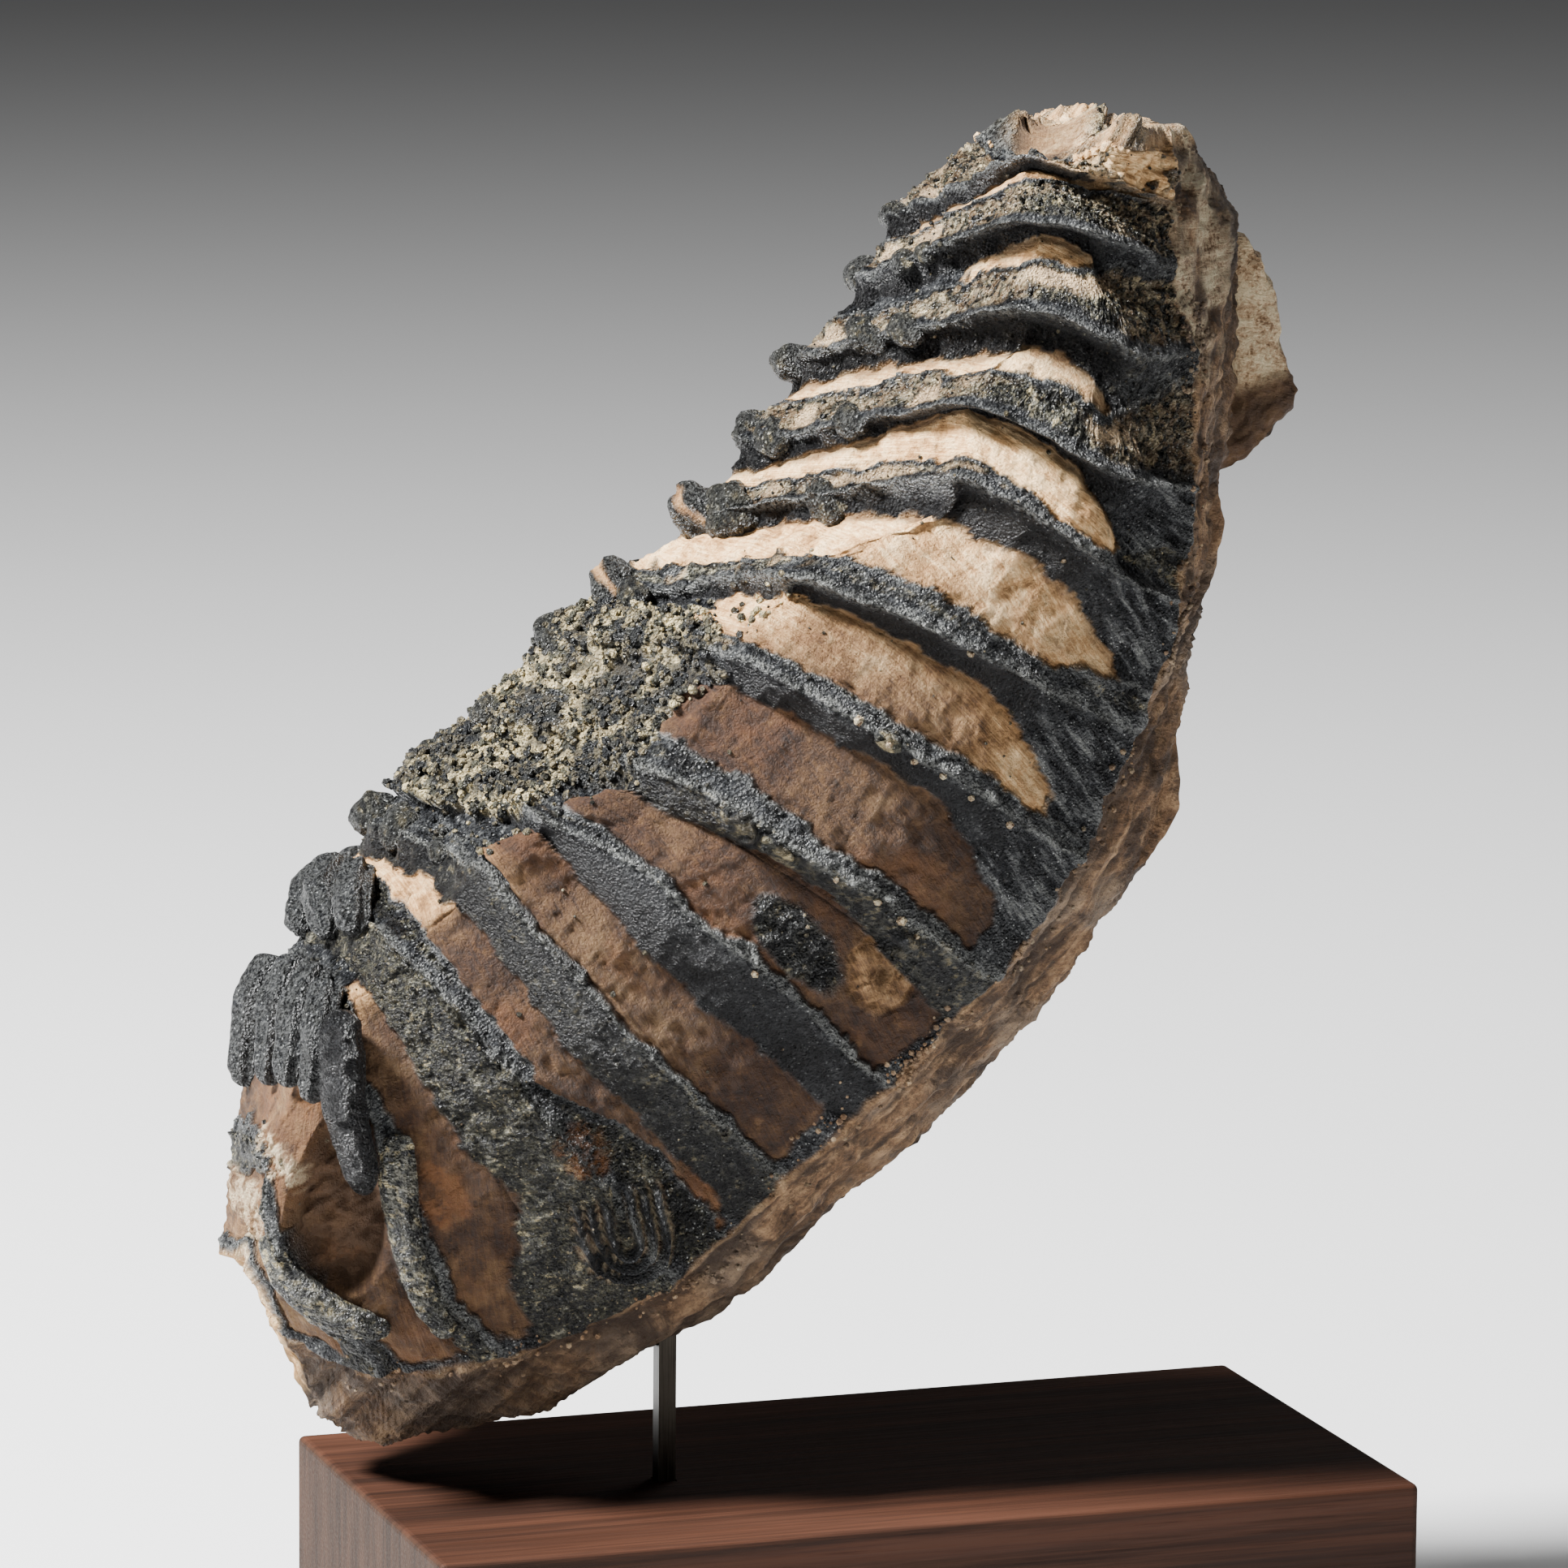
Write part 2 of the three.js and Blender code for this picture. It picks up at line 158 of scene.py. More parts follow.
# One number for each plate: how rounded its lower face is, how much painted shade darkens that
# face's foot and the cement under it, how much of its core shows, how clearly a beige streak runs
# in it, how gritty its lower face is, and how proud the cement below it stands at the ridge (mm).
CONVEX = np.array([0, 0, 0, 0, 0, 0.15, 0.6, 1, 1, 1, 1, 1, 1, 1, 1])
PAINTED_SHADE = np.array([0.6, 1, 1, 1, 1, 0.95, 0.65, 0.5, 0.45, 0.45, 0.5, 0.2, 0.3, 0.3, 0.0])
CORE = np.array([0.6, 1, 1, 1, 1, 0.75, 0.35, 0.2, 0.2, 0.25, 0.3, 1, 0.8, 0.6, 0])
BEIGE = np.array([0, 0, 0.3, 0.85, 1, 0.7, 0, 0, 0, 0, 0, 0, 0, 0, 0])
GRIT_FACE = np.array([0, 0, 0, 0.15, 0, 0, 0, 0, 0.15, 0, 0.25, 0.95, 0.8, 0.8, 0])
PROUD = np.array([0, 0, 0, 0, 0, 0, 0.6, 1.6, 2.2, 2.2, 0.6, 0.4, 0, 0, 0])
# Brown stain of the cement, by place along the tooth. Its rise towards the lower end also paints
# the shade that darkens the lower plates.
STAIN_PLATES = (0, 3, 4.9, 5.5, 6.1, 7.1, 7.4, 11.0, 12, 14)
STAIN_AND_SHADE = (0.12, 0.10, 0.02, 0.26, 0.66, 0.92, 1.0, 1.0, 1.0, 0.85)
# Part of a crest's height that stands at each place round the turn.
CREST_PLACES = (0.0, 0.05, 0.12, 0.25, 0.29, 0.34, 0.43)
CREST_SHARE = (0.10, 0.62, 0.95, 1.0, 0.80, 0.45, 0.30)
# Half the width, in parts of the pitch, over which a band's edge fades.
BAND_EDGE = 0.010
# Lean in radians of the drawn-out streaks beside the root.
COMB_LEAN = -0.25
# Slant of the cement's fibres, as a rise for each unit run.
FIBRE_SLANT = 0.20
# Plates with a step down at the brow, a crack, and a pale lower tip of their cement.
STEPPED_PLATE = 10
CRACKED_PLATE = 9
PALE_TIP_PLATE = 6
# Crust of small mineral grains: where it begins round the turn, by place along the tooth.
CRUST_PLATES = (6.0, 6.4, 6.9, 8.0, 9.0, 9.4, 9.7)
CRUST_EDGE = (0.52, 0.372, 0.292, 0.298, 0.305, 0.36, 0.52)

# ------------------------------------------------------------------ single marks, x and z in mm
# The cavity in the broken upper end (x, y, half length, half width) and the ridge beside it.
CAVITY = (60.5, -16, 6.5, 13)
GREY_RIDGE = ((74.5, -33), (67, -6))
# A spot is x, z, half length, half width and lean in degrees. The hollow's left edge is chipped
# along a line, given as an x at each height.
ROSETTE = (37, 96, 6.5, 7.5, 0)
HOLLOW = (-56, 54, 9, 16, 12)
CHIP_HEIGHTS = (44, 52.5, 61.4, 71.4)
CHIP_LINE = (-63.0, -64.1, -62.2, -57.9)
RUST_SPOTS = ((-55, 44, 5, 4, 0), (-37, 58, 5, 8, 25), (-13, 66, 7, 5, -40), (-61, 75, 5, 5, 0))
PALE_SPOTS = ((-66, 64, 3.4, 5.5, 20), (-71, 52, 3.0, 6.0, 10), (-74, 53, 3, 5, 0),
              (-62, 60, 1.6, 9, 14))
# Nested loops: the middle of their round foot, their lean and the distance between two of them.
LOOP_FOOT = (-6.0, 49.5)
LOOP_LEAN = math.radians(14)
LOOP_PITCH = 2.3
DARK_PATCH = (22.5, 102.0, 12.5, 5.4, -51)
CRUST_SPOTS = ((19, 118, 5.5, 2.6, -50), (12.5, 123.5, 4.5, 2.4, -50), (40.3, 102, 3.6, 2.6, -50),
               (37, 138, 3.0, 1.8, -40))
# Bright mineral lumps, each a plate place and a turn.
NODULES = ((7.05, 0.055), (7.06, 0.083), (7.03, 0.104), (7.06, 0.123), (7.04, 0.144), (7.02, 0.168),
           (8.10, 0.056), (8.06, 0.070), (8.05, 0.088), (8.08, 0.115), (6.10, 0.12), (9.05, 0.09))

# ------------------------------------------------------------------ smaller forms
# Knobs of the biting edge: turns across it, size at each turn, size on each plate, plates whose
# middle knob shows a softer layer, and plates whose knobs lie under the crust.
KNOB_TURNS = (0.357, 0.393, 0.434, 0.468, 0.503, 0.536, 0.569)
KNOB_TURN_SIZE = (0.66, 0.9, 1.0, 1.0, 0.95, 0.9, 0.8)
KNOB_SIZE = (0.0, 0.62, 0.72, 0.85, 1.0, 1.1, 1.0, 0.95, 0.75, 0.75, 0.95, 0.8)
LAYERED_KNOBS = (5, 6)
CRUSTED_PLATES = (7, 8, 9)
# A rod: plate places, turns, lifts (mm), half widths, half heights, number of ribs, rib depth (mm).
FINGER = ((11.76, 11.92, 12.08, 12.20), (0.262, 0.228, 0.192, 0.126), (3.2, 3.4, 3.2, 1.0),
          (3.2, 3.8, 3.8, 2.4), (3.4, 4.2, 3.8, 1.8), 9, 0.08)
LOBE_RIBS = (7, 0.32)
UPPER_LOBE = tuple((*rod, *LOBE_RIBS) for rod in (
    ((10.55, 10.9, 11.25), (0.395, 0.365, 0.33), (0.3, 1.2, 0.2), (2.6, 3.3, 2.6), (3.2, 3.8, 3.0)),
    ((10.60, 11.0, 11.40), (0.428, 0.400, 0.36), (0.3, 1.4, 0.2), (2.6, 3.5, 2.6), (3.2, 3.8, 3.0)),
    ((10.62, 11.0, 11.42), (0.462, 0.440, 0.41), (0.3, 1.4, 0.2), (2.6, 3.5, 2.6), (3.2, 3.8, 3.0)),
    ((10.55, 10.9, 11.30), (0.500, 0.485, 0.46), (0.3, 1.2, 0.2), (2.6, 3.4, 2.6), (3.2, 3.8, 3.0))))
LOWER_LOBE = tuple((*rod, *LOBE_RIBS) for rod in (
    ((11.70, 12.0, 12.35), (0.300, 0.265, 0.225), (0.8, 1.6, 0.2), (2.4, 3.0, 2.2), (3.2, 3.6, 2.6)),
    ((11.66, 12.05, 12.50), (0.335, 0.308, 0.275), (0.8, 2.0, 0.3), (2.6, 3.3, 2.2), (3.4, 4.0, 2.6)),
    ((11.68, 12.1, 12.62), (0.375, 0.355, 0.335), (0.8, 2.0, 0.3), (2.8, 3.6, 2.2), (3.4, 4.0, 2.6)),
    ((11.70, 12.1, 12.70), (0.420, 0.410, 0.400), (0.8, 1.8, 0.3), (2.8, 3.6, 2.2), (3.4, 4.0, 2.6)),
    ((11.70, 12.1, 12.60), (0.465, 0.465, 0.465), (0.8, 1.6, 0.3), (2.8, 3.6, 2.2), (3.4, 3.8, 2.6))))
RIBBONS = (
    ((11.85, 11.98, 12.06, 12.14, 12.18), (0.150, 0.120, 0.092, 0.055, 0.022),
     (-0.3, 0.2, 0.4, 0.2, -0.4), (2.6, 3.2, 2.8, 2.6, 2.2), (1.2, 1.8, 2.0, 1.7, 1.2), 6, 0.15),
    ((13.15, 13.05, 12.90, 12.72, 12.54), (0.165, 0.110, 0.070, 0.050, 0.036),
     (-0.2, 0.6, 0.8, 0.5, -0.3), (2.0, 3.0, 3.6, 3.2, 2.4), (1.2, 2.2, 2.4, 2.0, 1.2), 6, 0.20))
FLANGES = (
    ((5.92, 6.3, 6.8, 7.2, 7.6), (0.957, 0.950, 0.947, 0.952, 0.962), (-3.0, -2.4, -1.7, -2.2, -3.2),
     (0.8, 1.1, 1.3, 1.2, 0.8), (2.0, 3.4, 4.4, 3.6, 1.4), 3, 0.2),
    ((4.15, 4.5, 4.9, 5.3), (0.952, 0.948, 0.950, 0.958), (-1.8, -1.3, -1.4, -1.9),
     (0.7, 0.9, 0.9, 0.7), (1.4, 2.8, 2.4, 1.2), 3, 0.2))
# The bone flake: outline (x, z), depth behind the tooth's middle, half thickness, and the height
# under which it is rough, in mm.
FLAKE_OUTLINE = ((92, 217), (97, 218), (100, 214), (103, 207), (104.5, 197), (107, 191), (106.5, 188.5),
                 (102, 184), (98, 179), (94, 177.5), (91, 181))
FLAKE_DEPTH = 6.0
FLAKE_THICK = 2.6
FLAKE_ROUGH_BELOW = 192
# Loose grains: how flat and how dented they are, and the places tried for each kind.
CRUMB_FLATNESS = 0.25
CRUMB_DENTS = 0.28
CRUST_TRIES = 9000
GRIT_TRIES = 26000
MARGIN_TRIES = 5200
RIM_TRIES = 1500
# No crumbs lie on the broken rim past this x, in mm.
RIM_RIGHT = 76

# ------------------------------------------------------------------ columns and rows
# Columns round the tooth: from, to and how many, closest together over the near side.
COLUMN_SPANS = ((-0.07, 0.0, 23), (0.0, 0.27, 300), (0.27, 0.43, 130), (0.43, 0.86, 110),
                (0.86, 0.93, 23))
# Closed lengths of the skin: name, and where it starts and stops along the tooth.
LENGTHS = (("tooth_top", 0.0, 2.2), ("tooth_upper", 2.2, 5.3), ("tooth_middle", 5.3, 8.4),
           ("tooth_lower", 8.4, 11.5), ("tooth_foot", 11.5, 14.0))
ROWS_PER_PLATE = 52
CAP_RINGS = 34


# ------------------------------------------------------------------ stage
CAMERA_SENSOR = 36
CAMERA_REACH = 30
# The lights look at a point this high over the floor's origin, in m.
TARGET_HEIGHT = 0.15
# A light: name, setting of its power, size, and place to the right of, beyond and above that point.
LIGHTS = (("key_light", "key", 0.28, (-0.88, -0.40, 1.02)),
          ("top_light", "top", 0.6, (0.5, 0.75, 0.9)),
          ("fill_light", "fill", 1.0, (1.1, -0.9, 0.35)))
SKY_COLOUR = (0.9, 0.92, 0.95, 1)
SKY_STRENGTH = 0.02
FLOOR_HALF = 9.0


# ------------------------------------------------------------------ small helpers
def smooth(low, high, value):
    """S-curve from 0 at low to 1 at high: three times the square less twice the cube."""
    t = np.clip((value - low) / (high - low), 0, 1)
    return t * t * (3 - 2 * t)


def mix(a, b, t):
    """Straight blend from a at 0 to b at 1."""
    return a + (b - a) * t


def scatter(i, j, k, seed):
    """Even scatter from 0 to 1 for whole-number places, by mixing the bits of i, j and k."""
    i, j, k = (np.asarray(v).astype(np.int64).astype(np.uint32) for v in (i, j, k))
    h = i * np.uint32(374761393) + j * np.uint32(668265263) + k * np.uint32(2246822519)
    h = h + np.uint32(seed * 974711 + 1013)
    h = (h ^ (h >> np.uint32(15))) * np.uint32(2246822519)
    h = (h ^ (h >> np.uint32(13))) * np.uint32(3266489917)
    h = h ^ (h >> np.uint32(16))
    return h / 4294967296.0


def swell(place, size, seed):
    """Smooth random height from -1 to 1 with bumps about size across.

    Scattered values on a cubic lattice are blended by the S-curve between its eight corners.
    """
    at = place / size
    base = np.floor(at)
    t = at - base
    t = t * t * (3 - 2 * t)
    i, j, k = base[..., 0], base[..., 1], base[..., 2]
    total = 0.0
    for a in (0, 1):
        for b in (0, 1):
            for c in (0, 1):
                share = (t[..., 0] if a else 1 - t[..., 0]) * (t[..., 1] if b else 1 - t[..., 1])
                share = share * (t[..., 2] if c else 1 - t[..., 2])
                total = total + share * scatter(i + a, j + b, k + c, seed)
    return 2 * total - 1


def swells(place, *rows):
    """Swells added up, each given by its height, its size and its seed."""
    return sum(height * swell(place, size, seed) for height, size, seed in rows)


def cloud(place, size, seed, octaves=3):
    """Swells of halving size and halving height, added up."""
    total = 0.0
    for n in range(octaves):
        total = total + swell(place, size / 2 ** n, seed + n) / 2 ** n
    return total


def grains(place, size, seed):
    """Packed grains about size across: (height of a dome over each grain, its random value).

    Each cube of the lattice holds one seed point, moved by scatter. The nearest of the eight
    closest seeds owns a place, and the dome falls with the square of the distance to it.
    """
    at = place / size
    base = np.floor(at - 0.5)
    nearest = np.full(at.shape[:-1], 9.0)
    value = np.zeros(at.shape[:-1])
    for a in (0, 1):
        for b in (0, 1):
            for c in (0, 1):
                i, j, k = base[..., 0] + a, base[..., 1] + b, base[..., 2] + c
                off = [0.5 + 0.75 * (scatter(i, j, k, seed + m) - 0.5) for m in range(3)]
                d = ((at[..., 0] - i - off[0]) ** 2 + (at[..., 1] - j - off[1]) ** 2
                     + (at[..., 2] - k - off[2]) ** 2)
                closer = d < nearest
                nearest = np.where(closer, d, nearest)
                value = np.where(closer, scatter(i, j, k, seed + 7), value)
    return np.clip(1 - nearest / 0.55, -0.3, 1), value


def to_frame(points):
    """Millimetres in the tooth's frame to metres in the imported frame: a turn about z and a shift."""
    points = np.asarray(points, dtype=float)
    c, s = math.cos(TURN), math.sin(TURN)
    out = np.empty_like(points)
    out[..., 0] = c * points[..., 0] - s * points[..., 1]
    out[..., 1] = s * points[..., 0] + c * points[..., 1]
    out[..., 2] = points[..., 2]
    return out * MM + FOOT


# ------------------------------------------------------------------ smooth form
def along_rows(table, p):
    """Rows of a table at any place along the tooth: the smooth cubic through its neighbours."""
    p = np.clip(p, 0, LAST)
    i = np.minimum(LAST - 1, np.floor(p).astype(int))
    t = (p - i)[:, None]
    a, b, c, d = (table[np.clip(i + k, 0, LAST)] for k in (-1, 0, 1, 2))
    return b + 0.5 * t * (c - a + t * (2 * a - 5 * b + 4 * c - d + t * (3 * (b - c) + d - a)))


def corners(p):
    """The fourteen corner points of the sections at p."""
    near = along_rows(FORM, p)
    far = along_rows(FORM, np.minimum(p + FAR_LAG, LAST))
    half = near[:, 16]
    out = np.zeros((len(p), len(PLACES), 3))
    for k, depth in enumerate(DEPTHS):
        out[:, k, 0] = near[:, 2 * k]
        out[:, k, 1] = -depth * half
        out[:, k, 2] = near[:, 2 * k + 1]
        mirror = 12 - k
        if mirror != k:
            out[:, mirror, 0] = far[:, 2 * k]
            out[:, mirror, 1] = depth * half
            out[:, mirror, 2] = far[:, 2 * k + 1]
    out[:, 13, 0] = near[:, 14]
    out[:, 13, 2] = near[:, 15]
    out[:, 6] += BITE_OUT * (out[:, 6] - (out[:, 5] + out[:, 7]) / 2)
    return out


def shares(t):
    """How much each corner counts at t: the section's polygon averaged over a short arc."""
    out = np.zeros((len(t), len(PLACES)))
    ends = np.append(PLACES, 1.0)
    arc = ROUNDING - SHARPENING * sum(
        np.exp(-((((t - edge + 0.5) % 1.0) - 0.5) / SHARP_REACH) ** 2)
        for edge in (0.0, RIDGE, FAR_RIDGE, FAR_MARGIN))
    rows = np.arange(len(t))
    steps = np.linspace(-1, 1, 9)
    for s in steps:
        u = (t + s * arc) % 1.0
        i = np.clip(np.searchsorted(ends, u, side="right") - 1, 0, len(PLACES) - 1)
        f = (u - ends[i]) / (ends[i + 1] - ends[i])
        np.add.at(out, (rows, i), 1 - f)
        np.add.at(out, (rows, (i + 1) % len(PLACES)), f)
    return out / len(steps)


def form_grid(p, t):
    """Smooth form on a grid of rows p and columns t."""
    return np.einsum("ck,rkx->rcx", shares(t), corners(p))


def form_at(p, t):
    """Smooth form at single places, one for each pair of p and t."""
    return np.einsum("nk,nkx->nx", shares(t), corners(p))


def frame_of(form, p, t):
    """Place, run along the tooth for one plate, and outward direction of the smooth form."""
    e, d = 0.03, 0.004
    low, high = np.clip(p - e, 0, LAST), np.clip(p + e, 0, LAST)
    at = form(p, t)
    span = high - low
    run = (form(high, t) - form(low, t)) / (span[:, None, None] if at.ndim == 3 else span[:, None])
    turn = form(p, t + d) - form(p, t - d)
    out = np.cross(turn, run)
    out /= np.linalg.norm(out, axis=-1, keepdims=True) + 1e-9
    return at, run, out


# ------------------------------------------------------------------ bands and relief
def band(table, plate, fold):
    """Width of a band at a plate and a place round the turn, straight between its stations."""
    i = np.clip(np.searchsorted(STATIONS, fold, side="right") - 1, 0, len(STATIONS) - 2)
    f = np.clip((fold - STATIONS[i]) / (STATIONS[i + 1] - STATIONS[i]), 0, 1)
    return mix(table[plate, i], table[plate, i + 1], f)


def spot(place, x, z, long, wide, lean):
    """Falls from 1 to 0 out of an oval patch on the near side, seen along y."""
    c, s = math.cos(math.radians(lean)), math.sin(math.radians(lean))
    dx, dz = place[..., 0] - x, place[..., 2] - z
    r = ((dx * c + dz * s) / long) ** 2 + ((dz * c - dx * s) / wide) ** 2
    return np.where(place[..., 1] < 0, np.clip(1 - r, 0, 1), 0.0)


def plate_bands(p, t, at, run):
    """Plates, their overhang and the widths of their bands, at arrays of places.

    q runs from 0 at one crest to 1 at the next. The overhang draws every place but the crest
    itself back towards the upper end, so the crest leans over the cement below it.
    """
    fold = np.where(t < BITE, t, FAR_MARGIN - t)
    ragged = swells(at, (0.55, 7, 12), (0.35, 2.4, 13)) * mix(0.006, 0.013, smooth(3.6, 2.6, p))
    crown = smooth(-0.003, 0.003, fold + ragged)
    wave = swells(at, (0.045, 13, 1), (0.03, 5, 2), (0.012, 2.2, 5))
    shifted = np.clip(p + wave * crown, 0, LAST - 1e-6)
    plate = np.floor(shifted).astype(int)
    q = shifted - plate
    face = band(FACE, plate, fold)
    hang = mix(HANG[plate], HANG[plate + 1], q) * crown * smooth(0.015, 0.07, fold)
    foot = np.clip(face + hang, 0.04, 0.96)
    push = np.where(q < 0.5, 1 - smooth(0, 0.7 * foot, q), smooth(0.80, 1.0, q))
    back = hang * (1 - push)
    return SimpleNamespace(
        p=p, t=t, fold=fold, crown=crown, plate=plate, q=q, true_q=q - back, back=back, foot=foot,
        face_part=face, brow_part=band(BROW, plate + 1, fold), place=at - run * back[..., None])


def drawn(s, long, wide, seed, octaves=1, layer=None):
    """Clouds drawn out over the skin: long mm round the tooth and wide mm along it.

    The layer, a third coordinate, keeps the patterns of the tooth's two sides apart.
    """
    layer = s.side if layer is None else layer
    return cloud(np.stack([s.along / long, s.across / wide, layer], axis=-1), 1.0, seed, octaves)


def drop_from_crests(s):
    """Depth of the skin below its crests: a lower face, then a ramp up to the next crest.

    The face falls as one less a sine where it is hollow and as a cosine where it is rounded.
    """
    height = mix(CREST[s.plate], CREST[s.plate + 1], s.q) * np.interp(s.fold, CREST_PLACES, CREST_SHARE)
    height = height * smooth(-0.010, 0.002, s.fold)
    height = height * smooth(-0.2, 0.8, s.p)
    down = 0.5 * np.pi * np.clip(s.q / s.foot, 0, 1)
    rounded = CONVEX[s.plate] * smooth(0.33, 0.20, s.fold)
    wall = mix(1 - np.sin(down) ** 0.9, np.cos(down) ** 0.8, rounded)
    ramp = np.clip((s.q - s.foot) / (1.001 - s.foot), 0, 1) ** 1.15
    profile = np.where(s.q < s.foot, wall, ramp)
    s.lift = -height * (1 - profile)


def enamel_masks(s):
    """Where enamel, cement, crust and the broken rim lie: S-curves across the edges of the bands."""
    s.broken = smooth(1.15, 0.75, s.p) * (1 - smooth(0.20, 0.24, s.fold)) * s.crown
    face_edge = smooth(-BAND_EDGE, BAND_EDGE, s.face_part + s.rag - s.true_q)
    s.on_face = np.where(s.q < 0.97, face_edge, 0) * s.crown
    s.brow = s.brow_part + s.rag
    s.on_brow = smooth(-BAND_EDGE, BAND_EDGE, s.true_q - 1 + s.brow) * s.crown * (1 - s.broken)
    s.top = WINDOW_TOP[s.plate]
    shut = smooth(-0.003, 0.003, s.fold - s.top - 0.10 * s.rag)
    foot_line = WINDOW_FOOT[s.plate] + 0.16 * s.rag - 0.02 * (WINDOW_FOOT[s.plate] == 0)
    shut = np.maximum(shut, smooth(-0.002, 0.002, foot_line - s.fold)) * s.crown
    crust_edge = np.interp(s.p, CRUST_PLATES, CRUST_EDGE)
    crust_edge = s.fold - crust_edge + 0.02 * swell(s.place, 4, 6) + 0.01 * swell(s.place, 1.5, 7)
    enamel = np.maximum(np.maximum(s.on_face, s.on_brow), shut)
    lichen = np.max([spot(s.place, *oval) for oval in CRUST_SPOTS], axis=0)
    lichen = smooth(0.1, 0.5, lichen * (1 + 0.9 * swell(s.place, 2.2, 10)))
    s.crust = np.maximum(smooth(-0.006, 0.006, crust_edge), 0.9 * enamel * lichen) * s.crown
    s.shards = smooth(0.05, 0.30, swells(s.place, (0.7, 3.2, 8), (0.7, 1.4, 9)))
    enamel = mix(enamel, 0.85 * s.shards, s.broken)
    s.patch = smooth(0.15, 0.45, spot(s.place, *DARK_PATCH) + 4 * s.rag) * s.crown
    s.enamel = np.maximum(enamel, s.patch)
    s.cement = (1 - s.enamel) * s.crown


def core_masks(s):
    """The plate's gritty core, which shows between its two skins of enamel, and its beige streak."""
    above = (1 - s.true_q) * PITCH
    after = np.minimum(s.plate + 1, LAST)
    s.from_top = np.maximum(s.brow, 0.02) * PITCH - above
    core = s.on_brow * smooth(0.9, 1.6, s.from_top + 8 * s.rag) * smooth(1.4, 2.6, above + 10 * s.rag)
    s.core = core * np.maximum(CORE[after], 0.8 * s.crown_side * smooth(10.5, 9.5, s.p))
    beige = s.core * smooth(1.3, 2.0, s.from_top) * (1 - smooth(3.2, 4.6, s.from_top))
    beige = beige * smooth(-0.35, 0.1, drawn(s, 16, 2.0, 34))
    beige = beige * BEIGE[after] * smooth(0.07, 0.11, s.fold) * (1 - s.crown_side)
    specks = 0.75 * s.core * s.crown_side * smooth(0.15, 0.40, swell(s.place, 4.5, 37))
    s.beige = np.maximum(beige, specks * smooth(9.5, 8.5, s.p))
    s.gritty = np.maximum(np.maximum(s.core, s.on_face * GRIT_FACE[s.plate]),
                          np.maximum(0.45 * s.patch, s.broken * s.shards))


def edge_masks(s):
    """Painted shade under the overhangs and at the third window's end beside the root, the dark margin
    beside the root, worn lips and rims, pale partly as a painted highlight, and smooth slate.
    """
    # Painted shade: darkens the lower part of each plate's face, sooner on the upper plates and less beside
    # the root.
    beside_root = 1 - 0.75 * (1 - smooth(0.07, 0.12, s.fold))
    s.deep = smooth(5.0, 4.2, s.p)
    shade = smooth(mix(0.10, 0.03, s.deep), mix(0.75, 0.24, s.deep), s.q / s.foot)
    shade = s.on_face * PAINTED_SHADE[s.plate] * shade * beside_root
    # Painted shade on the cement just under each overhanging face.
    under = 1 - smooth(0.2, mix(1.3, 3.6, s.deep), (s.true_q - s.face_part) * PITCH)
    shade = np.maximum(shade, s.cement * under * 0.8 * PAINTED_SHADE[s.plate] * (1 - smooth(5.2, 6.4, s.p)))
    # Painted shadow on the third window's end beside the root.
    third = smooth(4.0, 3.7, s.p) * smooth(2.2, 2.8, s.p) * smooth(0.20, 0.14, s.fold)
    s.shade = np.maximum(shade, 0.75 * s.cement * third)
    margin = 1 - smooth(0.045, 0.085, s.fold + 0.02 * swell(s.place, 5, 14))
    s.margin = s.enamel * margin * smooth(3.4, 4.4, s.p) * smooth(8.2, 7.4, s.p)
    worn = smooth(-0.3, 0.4, drawn(s, 5, 1.5, 35))
    below, above = s.true_q * PITCH, (1 - s.true_q) * PITCH
    # Pale worn lips along each crest, partly a painted highlight where the crest catches the light.
    lip = np.maximum(s.on_brow * (1 - smooth(0.0, 1.3, above)), s.on_face * (1 - smooth(0.2, 0.9, below)))
    s.lip = lip * mix(0.45, 1.0, worn) * mix(1.0, 0.6, s.deep)
    s.slate = s.on_face * smooth(0.5, 1.5, below) * smooth(4.5, 5.5, s.p) * (1 - s.margin)
    s.rim = s.on_brow * (1 - smooth(0.0, 0.9, s.from_top)) * mix(0.35, 0.9, worn)


